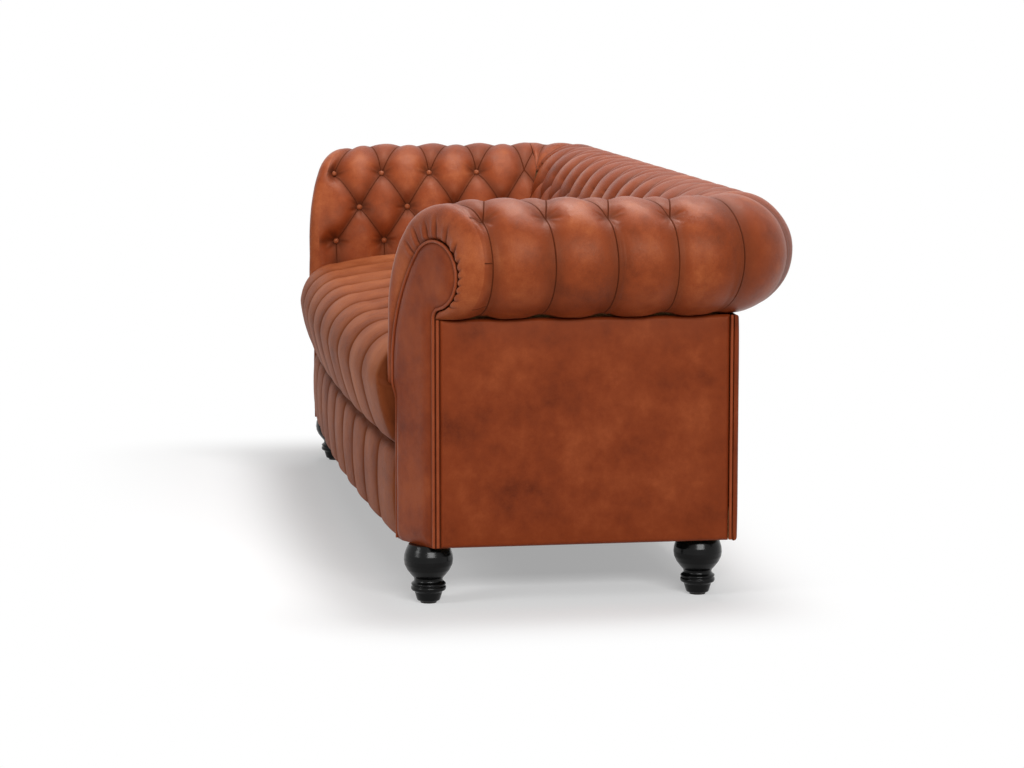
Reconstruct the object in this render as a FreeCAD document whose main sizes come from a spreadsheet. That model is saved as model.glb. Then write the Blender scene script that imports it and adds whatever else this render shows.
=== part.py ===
import FreeCAD, Part
import Sketcher
import math
import os

from FreeCAD import Matrix, Rotation, Vector

# Chesterfield sofa: X runs along the sofa, Y to its back, Z up, in millimetres.
# The origin is on the floor under the middle. The left side is the mirror of the right.

SIZES = [
    ("roll_x", 915, "centre line of the arm scroll, from the middle"),
    ("roll_y", 295, "centre line of the back scroll, from the middle"),
    ("roll_z", 650, "height of the scroll centre line"),
    ("roll_radius", 110, "outer radius of the scroll"),
    ("corner_bend", 100, "plan radius of the scroll centre line at the rear corners"),
    ("inside_offset", 145, "from the scroll centre line in to the inside face"),
    ("lean_start", 540, "height where the inside face starts to lean out"),
    ("cover_thick", 22, "leather with its wadding over the foam"),
    ("foam_gap", 0.3, "between foam and cover"),
    ("cover_foot", 300, "height of the tucked lower edge of the inside covers"),
    ("base_z", 112, "height of the lower edge of the upholstery"),
    ("frame_z", 118, "height of the underside of the frame"),
    ("panel_out", 10, "outer face of the outside arm panels, out from the scroll centre line"),
    ("back_in", 8, "outer face of the outside back, in from the scroll centre line"),
    ("panel_thick", 12, "leather panel on its backing"),
    ("panel_gap", 1, "between the scroll and the upper edge of the outside panels"),
    ("facing_front", 367, "from the middle to the inner front edge of the facings"),
    ("facing_turn", 27, "degrees that the facings are turned outwards"),
    ("facing_inset", 31, "inner edge of the facing, from the inside face of the arm"),
    ("facing_thick", 10, "facing pad"),
    ("facing_head", 62, "radius of the rounded head of the facing"),
    ("head_out", 9, "centre of the facing head, out from the scroll centre line"),
    ("head_down", 29, "centre of the facing head, below the scroll centre line"),
    ("waist_radius", 20, "hollow under the facing head"),
    ("stem_out", 5, "outer edge of the facing stem, out from the scroll centre line"),
    ("lean_facing", 440, "height where the inner edge of the facing starts to lean out"),
    ("border_deep", 28, "depth of the pleated band round the end of the scroll"),
    ("border_round", 13, "rounding of the pleated band"),
    ("border_ease", 3.9, "how far in from both faces the middle of that rounding lies"),
    ("band_gap", 1, "between the pleated band and what lies below it"),
    ("piping", 4, "radius of the leather piping"),
    ("piping_slack", 0.2, "between the piping and what it lies against"),
    ("piping_end", 1, "how far the piping stops short of the edges"),
    ("piping_gap", 0.5, "between the piping of the facing and that of the panel"),
    ("board_gap", 7, "from the facing outline in to the edge of the scroll board"),
    ("tuft_pitch", 115, "spacing of the buttons along the arms"),
    ("back_pitch", 118, "spacing of the buttons along the back"),
    ("arm_count", 4, "buttons in a row along an arm"),
    ("tuft_back", 74, "first arm button, behind the inner front edge of the facing"),
    ("outer_back", 88, "first outer tuft of the arm, behind the first button"),
    ("row_up", 55, "upper inside row of buttons, above the scroll centre line"),
    ("row_down", 28, "middle inside row, below the scroll centre line"),
    ("row_gap", 84, "from the middle inside row down to the lower one"),
    ("row_outer", 52, "degrees up from level of the row on the outer side of the scroll"),
    ("tuft_deep", 16, "depth of a tuft at its button"),
    ("tuft_wide", 30, "radius of a tuft at the surface"),
    ("button_radius", 9, "leather button"),
    ("button_thick", 6, "leather button"),
    ("button_top", 4.95, "radius of the flat on a button"),
    ("button_gap", 1, "round a button at the bottom of its tuft"),
    ("pleat_deep", 7, "depth of a pleat"),
    ("pleat_wide", 12, "half width of a pleat at the surface"),
    ("corner_start", 80, "degrees up from level where the pleats of the corners start"),
    ("seat_gap", 0.3, "between seat and arm"),
    ("seat_rear_z", 488, "height of the seat at the back"),
    ("seat_crown_z", 508, "height of the seat crown"),
    ("seat_lip_z", 491, "height where the seat starts to roll over the front"),
    ("seat_lip_y", 318, "the same place, forward of the middle"),
    ("seat_front", 405, "foremost line of the seat, forward of the middle"),
    ("seat_front_z", 400, "height of that line"),
    ("seam_z", 281, "height of the seam between seat and front border"),
    ("seam_y", 370, "that seam, forward of the middle"),
    ("seam_gap", 0.5, "between seat and front border"),
    ("front_bow", 22, "how far the ends of the front stand back from its middle"),
    ("channels", 9, "channels across the seat"),
    ("channel_deep", 9, "depth of the seams between channels"),
    ("seat_pad", 26, "leather and top padding of the seat"),
    ("seat_belly", 4, "how far the front of the seat swells between its foremost line and the seam"),
    ("deck_z", 296, "height of the seat foam's underside"),
    ("foam_lap", 1, "seat foam, forward of the front rail"),
    ("border_lap", 25.3, "how far the front border reaches past the seat on each side"),
    ("border_thin", 6, "front border, behind its seams at the ends"),
    ("timber", 45, "width of the posts and side rails"),
    ("post_in", 75, "inner face of the posts, in from the scroll centre line"),
    ("post_back", 93, "front face of the front posts, behind the edge of the facing"),
    ("block_top", 170, "height of the top of the corner blocks"),
    ("block_gap", 8, "between corner blocks and outside panels"),
    ("block_deep", 167, "front corner blocks, back from the edge of the facing"),
    ("block_reach", 44, "rear corner blocks, forward of the rear posts"),
    ("rail_thick", 28, "seat rails"),
    ("seat_rail_top", 270, "height of the top of the front and rear seat rails"),
    ("side_rail_top", 260, "height of the top of the side seat rails"),
    ("lower_rail_z", 300, "height of the underside of the arm and back lower rails"),
    ("lower_rail_tall", 40, "arm and back lower rails"),
    ("top_rail_down", 135, "underside of the top rails, below the scroll centre line"),
    ("top_rail_tall", 36, "top rails"),
    ("top_rail_wide", 56, "arm top rails"),
    ("top_rail_back", 12, "arm top rails, behind the front of the posts"),
    ("back_rail_wide", 35, "back top rail"),
    ("back_rail_short", 5, "back top rail, short of the outer faces of the posts"),
    ("cross_x", 260, "inner face of the seat cross rails and back uprights, from the middle"),
    ("cross_wide", 30, "seat cross rails"),
    ("cross_tall", 60, "seat cross rails"),
    ("foot_in", 55, "centre of the feet, in from the scroll centre line"),
    ("foot_back", 75, "centre of the front feet, behind the edge of the facing"),
    ("foot_forward", 64, "centre of the rear feet, forward of the outside back"),
    ("foot_toe", 21.5, "radius of a foot at its glide"),
    ("foot_ankle", 26, "radius of a foot under its ring"),
    ("foot_ring", 33, "radius of a foot's ring"),
    ("foot_ring_low", 24, "height of the underside of that ring"),
    ("foot_ring_high", 38, "height of the top of that ring"),
    ("foot_lip", 3, "rounding of that ring"),
    ("foot_neck", 26.5, "radius of a foot's neck"),
    ("foot_neck_z", 46, "height of the top of the neck"),
    ("foot_bulb", 46, "radius of a foot's bulb"),
    ("foot_bulb_z", 82, "height of the widest part of the bulb"),
    ("foot_crown", 37, "radius of a foot at its top"),
    ("foot_swell", 7.92, "bulge of the foot between neck and bulb"),
    ("foot_shoulder", 3.6, "bulge of the foot over the bulb"),
    ("glide_tall", 4, "foot glide"),
    ("glide_radius", 15, "foot glide"),
    ("bolt_radius", 4, "hanger bolt of a foot"),
    ("bolt_grip", 30, "how deep a hanger bolt goes into foot and block"),
    ("screw_radius", 2.5, "frame screw"),
    ("screw_long", 70, "frame screw"),
    ("screw_rise", 22, "rail screws, above the underside of the frame"),
    ("wire", 1.9, "radius of the seat spring wire"),
    ("springs", 8, "seat springs"),
    ("spring_z", 276, "height of the seat springs"),
    ("spring_loops", 11, "loops of a seat spring"),
    ("spring_wide", 22, "half width of a seat spring's straights"),
    ("clip_long", 11.4, "spring clip, along its spring"),
    ("web_wide", 50, "webbing"),
    ("web_thick", 3, "webbing"),
    ("arm_straps", 3, "webbing straps in an arm"),
    ("arm_strap_pitch", 120, "spacing of these"),
    ("back_straps", 9, "webbing straps in the back"),
    ("cloth_thick", 2, "dust cloth"),
    ("cloth_gap", 1, "between dust cloth and what it goes round"),
]

# Sizes and places that follow from those above.
FOLLOWING = {
    "panel_x": "roll_x + panel_out",
    "back_y": "roll_y - back_in",
    "panel_top": "roll_z - roll_radius - panel_gap",
    "head_x": "roll_x + head_out",
    "head_z": "roll_z - head_down",
    "stem_x": "roll_x + stem_out",
    "first_tuft": "facing_front - tuft_back",
    "outer_first": "first_tuft - outer_back",
    "row_top": "roll_z + row_up",
    "row_middle": "roll_z - row_down",
    "row_low": "row_middle - row_gap",
    "seat_half": "roll_x - inside_offset - seat_gap",
    "border_half": "seat_half + border_lap",
    "border_back": "seam_y - front_bow - channel_deep - border_thin",
    "foam_front": "border_back + foam_lap",
    "post_x": "roll_x - post_in",
    "post_front": "facing_front - post_back",
    "rear_post_y": "roll_y - post_in",
    "block_out": "panel_x - panel_thick - block_gap",
    "block_in": "roll_x - inside_offset + facing_inset",
    "front_block_rear": "facing_front - block_deep",
    "rear_block_front": "rear_post_y - block_reach",
    "top_rail_z": "roll_z - top_rail_down",
    "foot_x": "roll_x - foot_in",
    "foot_front": "facing_front - foot_back",
    "foot_rear": "back_y - foot_forward",
}

LEFT, RIGHT = -1, 1
SIDES = (("left", LEFT), ("right", RIGHT))
UP = Vector(0, 0, 1)
FAR = 3000
CORNER_PLEATS = (22.5, 67.5)
FOAM_TURN = (0.3, 1.7)
TRIES = 3
LITTLE_TURN = 0.1
CLOSE = 1e-6

doc = FreeCAD.newDocument("chesterfield")
sheet = doc.addObject("Spreadsheet::Sheet", "sizes")
for row, (alias, value, note) in enumerate(SIZES, start=1):
    sheet.set(f"A{row}", alias)
    sheet.set(f"B{row}", str(value))
    sheet.set(f"C{row}", note)
    sheet.setAlias(f"B{row}", alias)
doc.recompute()

NODES = []


def size(alias):
    """One dimension, read from the sheet or added up from those that it follows."""
    if alias not in FOLLOWING:
        return float(sheet.get(alias))
    total, sign = 0, 1
    for word in FOLLOWING[alias].split():
        if word in "+-":
            sign = 1 if word == "+" else -1
        else:
            total += sign * size(word)
    return total


def keep(node):
    """Note that an object is a piece of the sofa, to be checked and written."""
    NODES.append(node)
    return node


def shaped(name, shape):
    """A piece whose shape is worked out here, for forms that no single feature makes."""
    node = doc.addObject("Part::Feature", name)
    node.Shape = shape
    node.Placement = FreeCAD.Placement()
    return keep(node)


def bind(node, **expressions):
    """Tie properties to cells. A double underscore in a key stands for a dot."""
    for key, expression in expressions.items():
        text = str(expression)
        node.setExpression(key.replace("__", "."), text)
    return node


def cell(text):
    """Write every alias in an expression as its cell, or as the cells that it follows."""
    aliases = {alias for alias, _, _ in SIZES}
    words = []
    for word in text.replace("(", " ( ").replace(")", " ) ").split():
        if word in FOLLOWING:
            word = f"( {cell(FOLLOWING[word])} )"
        elif word in aliases:
            word = f"sizes.{word}"
        words.append(word)
    return " ".join(words).replace("tan (", "tan(")


def block(name, low, span):
    """A box from its low corner and its three sizes, all as expressions."""
    box = doc.addObject("Part::Box", name)
    return bind(
        box,
        Placement__Base__x=cell(low[0]),
        Placement__Base__y=cell(low[1]),
        Placement__Base__z=cell(low[2]),
        Length=cell(span[0]),
        Width=cell(span[1]),
        Height=cell(span[2]),
    )


def side_block(name, side, inner, low_y, low_z, span):
    """A box on one side of the sofa: inner is its inner face, measured from the middle."""
    low_x = inner if side == RIGHT else f"0 - ( {inner} ) - ( {span[0]} )"
    return block(name, (low_x, low_y, low_z), span)


def rod(name, base, radius, height, axis="z"):
    """A cylinder from its base point, as expressions, along one of the axes."""
    cylinder = doc.addObject("Part::Cylinder", name)
    turns = {"z": Rotation(), "x": Rotation(Vector(0, 1, 0), 90), "y": Rotation(Vector(1, 0, 0), -90)}
    cylinder.Placement = FreeCAD.Placement(Vector(), turns[axis])
    return bind(
        cylinder,
        Placement__Base__x=cell(base[0]),
        Placement__Base__y=cell(base[1]),
        Placement__Base__z=cell(base[2]),
        Radius=cell(radius),
        Height=cell(height),
    )


def group(name, members):
    """Several separate solids kept as one node."""
    bundle = doc.addObject("Part::Compound", name)
    bundle.Links = members
    return bundle


def drilled(name, base, fasteners):
    """A timber with the holes of its fasteners."""
    cut = doc.addObject("Part::Cut", name)
    cut.Base = base
    cut.Tool = fasteners
    return keep(cut)


def mirrored(shape, side):
    """The shape for the right side, or its mirror for the left."""
    if side == RIGHT:
        return shape
    return shape.mirror(Vector(), Vector(1, 0, 0))


# Outlines and cutting planes


def arc(start, through, end):
    return Part.Arc(start, through, end).toShape()


def line(start, end):
    return Part.makeLine(start, end)


def polygon(points):
    return Part.Face(Part.makePolygon(points + points[:1]))


def outline_face(edges):
    return Part.Face(Part.Wire(edges))


def on_roll(radius, degrees):
    """A point at an angle round the scroll centre, as (offset outwards, height)."""
    angle = math.radians(degrees)
    return radius * math.cos(angle), size("roll_z") + radius * math.sin(angle)


class ScrollProfile:
    """The section of arm and back: a straight inside face that leans out into the scroll.

    Offsets run outwards from the scroll centre line. A depth moves the whole outline inwards.
    """

    def __init__(self, depth):
        self.radius = size("roll_radius") - depth
        self.inside = -(size("inside_offset") - depth)
        self.start = size("lean_start")
        rise = size("roll_z") - size("lean_start")
        reach = size("inside_offset")
        gap = reach - size("roll_radius")
        lean_outer = (reach * reach + rise * rise - size("roll_radius") ** 2) / (2 * gap)
        self.lean = lean_outer - depth
        self.lean_centre = -reach + lean_outer
        away_x, away_z = -self.lean_centre, size("roll_z") - self.start
        far = math.hypot(away_x, away_z)
        self.meet = (self.radius * away_x / far, size("roll_z") + self.radius * away_z / far)
        self.meet_angle = math.degrees(math.atan2(away_z, away_x))

    def lean_point(self, share):
        """A point on the leaning arc, from its lower end (0) to the scroll (1)."""
        turn = math.radians(180 - share * (180 - self.meet_angle))
        return self.lean_centre + self.lean * math.cos(turn), self.start + self.lean * math.sin(turn)

    def at_height(self, height):
        """Offset, and the outward direction, of the inside surface at one height."""
        if height <= self.start:
            return (self.inside, height), (-1.0, 0.0)
        if height < self.meet[1]:
            centre_x, centre_z, radius = self.lean_centre, self.start, self.lean
        else:
            centre_x, centre_z, radius = 0.0, size("roll_z"), self.radius
        fall = height - centre_z
        point = (centre_x - math.sqrt(radius * radius - fall * fall), height)
        return point, ((point[0] - centre_x) / radius, fall / radius)

    def edges(self, place, foot, end_degrees):
        """Edges from the foot of the inside face, over the scroll, to an angle under it."""
        top_turn = (self.meet_angle + 20) / 2
        points = [
            (self.inside, foot),
            (self.inside, self.start),
            self.lean_point(0.5),
            self.meet,
            on_roll(self.radius, top_turn),
            on_roll(self.radius, 20),
            on_roll(self.radius, (20 + end_degrees) / 2),
            on_roll(self.radius, end_degrees),
        ]
        spots = [place(offset, height) for offset, height in points]
        return [
            line(spots[0], spots[1]),
            arc(spots[1], spots[2], spots[3]),
            arc(spots[3], spots[4], spots[5]),
            arc(spots[5], spots[6], spots[7]),
        ]


def arm_place(offset, height):
    """Section point of the right arm, in the plane Y = 0."""
    return Vector(size("roll_x") + offset, 0, height)


def back_place(offset, height):
    """Section point of the back, in the plane X = 0."""
    return Vector(0, size("roll_y") + offset, height)


def end_point(edge):
    return edge.Vertexes[-1].Point


def cover_face(place, end_degrees):
    """Section of the leather and wadding, between the outline and its inner offset."""
    outer = ScrollProfile(0).edges(place, size("cover_foot"), end_degrees)
    inner = ScrollProfile(size("cover_thick")).edges(place, size("cover_foot"), end_degrees)
    foot = line(outer[0].Vertexes[0].Point, inner[0].Vertexes[0].Point)
    tail = line(end_point(outer[-1]), end_point(inner[-1]))
    return outline_face(Part.__sortEdges__(outer + inner + [foot, tail]))


def foam_face(place, inner_offset):
    """Section of the foam between the cover and the timber."""
    profile = ScrollProfile(size("cover_thick") + size("foam_gap"))
    floor = size("top_rail_z") + size("top_rail_tall")
    drop = size("roll_z") - floor
    end_degrees = -math.degrees(math.asin(drop / profile.radius)) if drop < profile.radius else -89
    edges = profile.edges(place, size("lower_rail_z"), end_degrees)
    tail = end_point(edges[-1])
    step = place(inner_offset, tail.z)
    low = place(inner_offset, size("lower_rail_z"))
    edges += [line(tail, step), line(step, low), line(low, edges[0].Vertexes[0].Point)]
    return outline_face(Part.__sortEdges__(edges))


def facing_slope():
    return math.tan(math.radians(size("facing_turn")))


def facing_y(x, depth=0.0):
    """Y of the turned facing plane of the right arm, moved back by a depth."""
    inside = size("roll_x") - size("inside_offset")
    step = depth / math.cos(math.radians(size("facing_turn")))
    return -size("facing_front") + (x - inside) * facing_slope() + step


def behind_facing(depth):
    """Everything behind the right facing plane moved back by a depth."""
    inside = size("roll_x") - size("inside_offset")
    room = Part.makeBox(2 * FAR, FAR, 2 * FAR, Vector(-FAR, 0, -FAR))
    room.rotate(Vector(), UP, size("facing_turn"))
    room.translate(Vector(inside, facing_y(inside, depth), 0))
    return room


def slanted(shape):
    """Shear a shape made about Y = 0 so that it lies in the right facing plane."""
    inside = size("roll_x") - size("inside_offset")
    shear = Matrix()
    shear.A21 = facing_slope()
    shear.A24 = facing_y(inside) - inside * facing_slope()
    return shape.transformGeometry(shear)


# Tufts, pleats and buttons


def along_arm(first):
    """Places along the arm, from the front, of a row of tufts."""
    return [-first + step * size("tuft_pitch") for step in range(int(size("arm_count")))]


def back_columns(shifted):
    """Places along the back of a row of tufts."""
    pitch = size("back_pitch")
    span = size("roll_x") - size("inside_offset") - pitch / 3
    half = int(span / pitch)
    if shifted:
        return [(step + 0.5) * pitch for step in range(-half, half)]
    return [step * pitch for step in range(-half, half + 1)]


def inside_rows():
    """Heights of the three inside rows, from the top."""
    return size("row_top"), size("row_middle"), size("row_low")


def arm_tufts():
    """Point and outward direction of each tuft of the right arm, row by row from the top."""
    profile = ScrollProfile(0)
    rows = []
    for index, height in enumerate(inside_rows()):
        (offset, level), (out_x, out_z) = profile.at_height(height)
        shift = (index % 2) * size("tuft_pitch") / 2
        row = []
        for y in along_arm(size("first_tuft") - shift):
            row.append((Vector(size("roll_x") + offset, y, level), Vector(out_x, 0, out_z)))
        rows.append(row)
    return rows


def back_tufts():
    """The same for the back."""
    profile = ScrollProfile(0)
    rows = []
    for index, height in enumerate(inside_rows()):
        (offset, level), (out_y, out_z) = profile.at_height(height)
        row = []
        for x in back_columns(index % 2 == 1):
            row.append((Vector(x, size("roll_y") + offset, level), Vector(0, out_y, out_z)))
        rows.append(row)
    return rows


def outer_tufts(side_places, to_point, to_direction):
    """Tufts of the row on the outer side of the scroll."""
    offset, height = on_roll(size("roll_radius"), size("row_outer"))
    turn = math.radians(size("row_outer"))
    return [
        (to_point(place, offset, height), to_direction(math.cos(turn), math.sin(turn)))
        for place in side_places
    ]


def arm_outer_tufts():
    return outer_tufts(
        along_arm(size("outer_first")),
        lambda y, offset, height: Vector(size("roll_x") + offset, y, height),
        lambda out, up: Vector(out, 0, up),
    )


def back_outer_tufts():
    return outer_tufts(
        back_columns(True),
        lambda x, offset, height: Vector(x, size("roll_y") + offset, height),
        lambda out, up: Vector(0, out, up),
    )


def dimple(tuft):
    """The hollow of one tuft, narrow at its button and wide at the surface."""
    point, out = tuft
    above = size("pleat_deep")
    deep = size("tuft_deep")
    bottom = size("button_radius") + size("button_gap")
    slope = (size("tuft_wide") - bottom) / deep
    return Part.makeCone(
        bottom, size("tuft_wide") + slope * above, deep + above, point - out * deep, out
    )


def button(tuft):
    """A button at the bottom of its tuft: a disc with a domed face."""
    point, out = tuft
    radius = size("button_radius")
    thick = size("button_thick")
    base = Part.makeCylinder(radius, thick / 2, point - out * size("tuft_deep"), out)
    dome = Part.makeCone(
        radius, size("button_top"), thick / 2, point - out * (size("tuft_deep") - thick / 2), out
    )
    return base.fuse(dome).removeSplitter()


def crease(first, second):
    """A V-shaped fold from one tuft to the next."""
    start, out_a = first
    end, out_b = second
    out = (out_a + out_b).normalize()
    run = end - start
    across = run.cross(out).normalize()
    deep = size("pleat_deep")
    wide = size("pleat_wide")
    tip = start - out * deep
    left = start + out * deep + across * 2 * wide
    right = start + out * deep - across * 2 * wide
    return polygon([tip, left, right]).extrude(run)


def creases(rows):
    """Diagonal folds between neighbouring rows of tufts."""
    folds = []
    for upper, lower in zip(rows, rows[1:]):
        for tuft in upper:
            for other in lower:
                level_gap = abs(tuft[0].z - other[0].z)
                if (tuft[0] - other[0]).Length < math.hypot(level_gap, size("back_pitch")):
                    folds.append(crease(tuft, other))
    return folds


def pleat_ring(centre, along, out, start_degrees, end_degrees):
    """A V-shaped pleat round the scroll, between two angles up from the outward level."""
    radius = size("roll_radius")
    deep = size("pleat_deep")
    wide = size("pleat_wide")

    def spot(reach, side):
        return centre + out * reach + along * side

    wedge = polygon([spot(radius - deep, 0), spot(radius + deep, 2 * wide), spot(radius + deep, -2 * wide)])
    turn_axis = out.cross(UP)
    wedge.rotate(centre, turn_axis, start_degrees)
    return wedge.revolve(centre, turn_axis, end_degrees - start_degrees)


def under_degrees(panel_offset):
    """Angle at which the cover's end meets the outside panel below the scroll."""
    return -math.degrees(math.acos(max(-1, min(1, panel_offset / size("roll_radius")))))


def arm_pleats(end_degrees):
    """Straight pleats on the outer side, and over the crest from each upper inside tuft."""
    rings = []
    along = Vector(0, 1, 0)
    for y in along_arm(size("outer_first")):
        centre = Vector(size("roll_x"), y, size("roll_z"))
        rings.append(pleat_ring(centre, along, Vector(1, 0, 0), size("row_outer"), end_degrees))
    return rings


def back_pleats(end_degrees):
    rings = []
    along = Vector(1, 0, 0)
    for x in back_columns(True):
        centre = Vector(x, size("roll_y"), size("roll_z"))
        rings.append(pleat_ring(centre, along, Vector(0, 1, 0), size("row_outer"), end_degrees))
    return rings


def corner_pleats(end_degrees):
    """Pleats that fan round the right rear corner, from the crest down."""
    hub_x = size("roll_x") - size("corner_bend")
    hub_y = size("roll_y") - size("corner_bend")
    rings = []
    for degrees in CORNER_PLEATS:
        turn = math.radians(degrees)
        out = Vector(math.cos(turn), math.sin(turn), 0)
        along = Vector(-math.sin(turn), math.cos(turn), 0)
        centre = Vector(hub_x, hub_y, size("roll_z")) + out * size("corner_bend")
        rings.append(pleat_ring(centre, along, out, size("corner_start"), end_degrees))
    return rings


# The run of arm, corner and back


def arm_run(face, depth):
    """Sweep a section of the right arm from the facing to the mitre at the back."""
    hub_y = size("roll_y") - size("corner_bend")
    run = face.copy()
    run.translate(Vector(0, -FAR / 4, 0))
    solid = run.extrude(Vector(0, FAR / 4 + hub_y, 0))
    solid = solid.common(behind_facing(depth))
    return solid.common(mitre_side(RIGHT))


def mitre_side(side):
    """The room on the arm's side (RIGHT) or the back's side (LEFT) of the right mitre."""
    corner = Vector(size("roll_x"), size("roll_y"), 0)
    room = Part.makeBox(FAR, 2 * FAR, 2 * FAR, Vector(0, -FAR, -FAR))
    room.rotate(Vector(), UP, -45 if side == RIGHT else 135)
    room.translate(corner)
    return room


def back_run(face):
    """Sweep a section of the back between the mitres, with both turned corners."""
    hub_x = size("roll_x") - size("corner_bend")
    run = face.copy()
    run.translate(Vector(-hub_x, 0, 0))
    straight = run.extrude(Vector(2 * hub_x, 0, 0))
    mitre = mitre_side(LEFT)
    straight = straight.common(mitre).common(mirrored(mitre, LEFT))
    corner = corner_turn(face)
    return straight.fuse([corner, mirrored(corner, LEFT)]).removeSplitter()


def corner_turn(face):
    """Turn the outer part of a section a quarter round the right rear corner."""
    hub_x = size("roll_x") - size("corner_bend")
    hub_y = size("roll_y") - size("corner_bend")
    keep_out = Part.makeBox(2 * FAR, FAR, 2 * FAR, Vector(-FAR, hub_y, -FAR))
    outer = face.common(keep_out)
    outer.translate(Vector(hub_x, 0, 0))
    return outer.revolve(Vector(hub_x, hub_y, 0), UP, -90)


def one_solid(shape):
    """The shape's single solid, or the shape itself when it holds more."""
    return shape.Solids[0] if len(shape.Solids) == 1 else shape


def cut_in_turn(cover, groups):
    """Cut groups of tools one after the other, which keeps each cut small.

    A cut that takes nothing away is tried again with its tools turned a little.
    """
    for cutters in groups:
        trial = cover.cut(cutters)
        for _ in range(TRIES):
            if trial.Volume < cover.Volume - 1:
                break
            for cutter in cutters:
                cutter.rotate(cutter.CenterOfMass, UP, LITTLE_TURN)
            trial = cover.cut(cutters)
        cover = trial
    return one_solid(cover)


def tuft_tools(rows, outer):
    """Dimples one by one, then the folds between them."""
    return [[dimple(tuft)] for row in rows + [outer] for tuft in row] + [creases(rows)]


def arm_leathers():
    """Tufted leather of each arm, over the scroll to the outside panel."""
    end_degrees = under_degrees(size("panel_out"))
    cover = arm_run(cover_face(arm_place, end_degrees), size("border_deep"))
    groups = tuft_tools(arm_tufts(), arm_outer_tufts()) + [arm_pleats(end_degrees)]
    cover = cut_in_turn(cover, groups)
    for name, side in SIDES:
        shaped(f"arm_leather_{name}", mirrored(cover, side))


def back_leather():
    """Tufted leather of the back, with both rear corners."""
    end_degrees = under_degrees(-size("back_in"))
    cover = back_run(cover_face(back_place, end_degrees))
    groups = tuft_tools(back_tufts(), back_outer_tufts()) + [back_pleats(end_degrees)]
    corner = corner_pleats(end_degrees)
    groups += [corner, [mirrored(ring, LEFT) for ring in corner]]
    shaped("back_leather", cut_in_turn(cover, groups))


def buttons():
    """The buttons, one node for each tufted cover."""
    tufts = [tuft for row in arm_tufts() for tuft in row] + arm_outer_tufts()
    discs = Part.makeCompound([button(tuft) for tuft in tufts])
    for name, side in SIDES:
        shaped(f"arm_buttons_{name}", mirrored(discs, side))
    tufts = [tuft for row in back_tufts() for tuft in row] + back_outer_tufts()
    shaped("back_buttons", Part.makeCompound([button(tuft) for tuft in tufts]))


def foams():
    """Foam of the arms and the back."""
    inner = -size("post_in") - size("web_thick")
    arm = one_solid(arm_run(foam_face(arm_place, inner), size("border_deep")))
    for name, side in SIDES:
        shaped(f"arm_foam_{name}", mirrored(arm, side))
    shaped("back_foam", one_solid(back_run(foam_face(back_place, inner))))


# Facings, piping and the pleated band


def facing_edges(grow):
    """Teardrop outline of the right facing in the plane Y = 0, made larger by grow."""
    inner = size("roll_x") - size("inside_offset") + size("facing_inset") - grow
    outer = size("stem_x") + grow
    head = size("facing_head") + grow
    waist = size("waist_radius") - grow
    head_x, head_z = size("head_x"), size("head_z")
    low = size("base_z")
    lean_z = size("lean_facing")
    reach = head_x - inner
    rise = head_z - lean_z
    lean = (reach * reach + rise * rise - head * head) / (2 * (reach - head))
    hub = Vector(inner + lean, 0, lean_z)
    centre = Vector(head_x, 0, head_z)
    meet = centre + (centre - hub).normalize() * head
    hollow_x = outer + waist
    drop = math.sqrt((head + waist) ** 2 - (hollow_x - head_x) ** 2)
    hollow = Vector(hollow_x, 0, head_z - drop)
    neck = centre + (hollow - centre).normalize() * head
    hollow_mid = hollow + (Vector(-1, 0, 0) + (neck - hollow).normalize()).normalize() * waist
    lean_mid = hub + (Vector(-1, 0, 0) + (meet - hub).normalize()).normalize() * lean
    top = centre + Vector(0, 0, head)
    right = centre + Vector(head, 0, 0)
    turn_one = centre + ((meet - centre).normalize() + Vector(0, 0, 1)).normalize() * head
    turn_two = centre + Vector(1, 0, 1).normalize() * head
    turn_three = centre + ((neck - centre).normalize() + Vector(1, 0, 0)).normalize() * head
    return [
        line(Vector(inner, 0, low), Vector(inner, 0, lean_z)),
        arc(Vector(inner, 0, lean_z), lean_mid, meet),
        arc(meet, turn_one, top),
        arc(top, turn_two, right),
        arc(right, turn_three, neck),
        arc(neck, hollow_mid, Vector(outer, 0, hollow.z)),
        line(Vector(outer, 0, hollow.z), Vector(outer, 0, low)),
    ]


def facing_plate(grow, front, rear, low=None):
    """A slab of the facing outline between two depths behind the facing plane."""
    edges = facing_edges(grow)
    start = edges[0].Vertexes[0].Point
    end = end_point(edges[-1])
    face = outline_face(edges + [line(end, start)])
    stretch = 1 / math.cos(math.radians(size("facing_turn")))
    face.translate(Vector(0, front * stretch, 0))
    slab = face.extrude(Vector(0, (rear - front) * stretch, 0))
    if low is not None:
        slab = slab.common(Part.makeBox(FAR, FAR, FAR, Vector(0, -FAR / 2, low)))
    return slanted(slab)


def facings():
    """Leather facings, and the plywood boards behind them."""
    pad = one_solid(facing_plate(-size("piping"), 0, size("facing_thick")))
    board = one_solid(
        facing_plate(-size("board_gap"), size("facing_thick"), size("border_deep"), size("block_top"))
    )
    for name, side in SIDES:
        shaped(f"facing_{name}", mirrored(pad, side))
        shaped(f"scroll_board_{name}", mirrored(board, side))


def facing_piping():
    """Piping round the facing outline."""
    path = Part.Wire(facing_edges(0))
    start = path.Vertexes[0].Point
    ring = Part.Wire(Part.makeCircle(size("piping") - size("piping_slack"), start, UP))
    tube = path.makePipeShell([ring], True, False)
    low = size("base_z") + size("piping_end")
    tube = tube.common(Part.makeBox(FAR, FAR, FAR, Vector(0, -FAR / 2, low)))
    tube = one_solid(slanted(tube))
    for name, side in SIDES:
        shaped(f"facing_piping_{name}", mirrored(tube, side))


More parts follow.
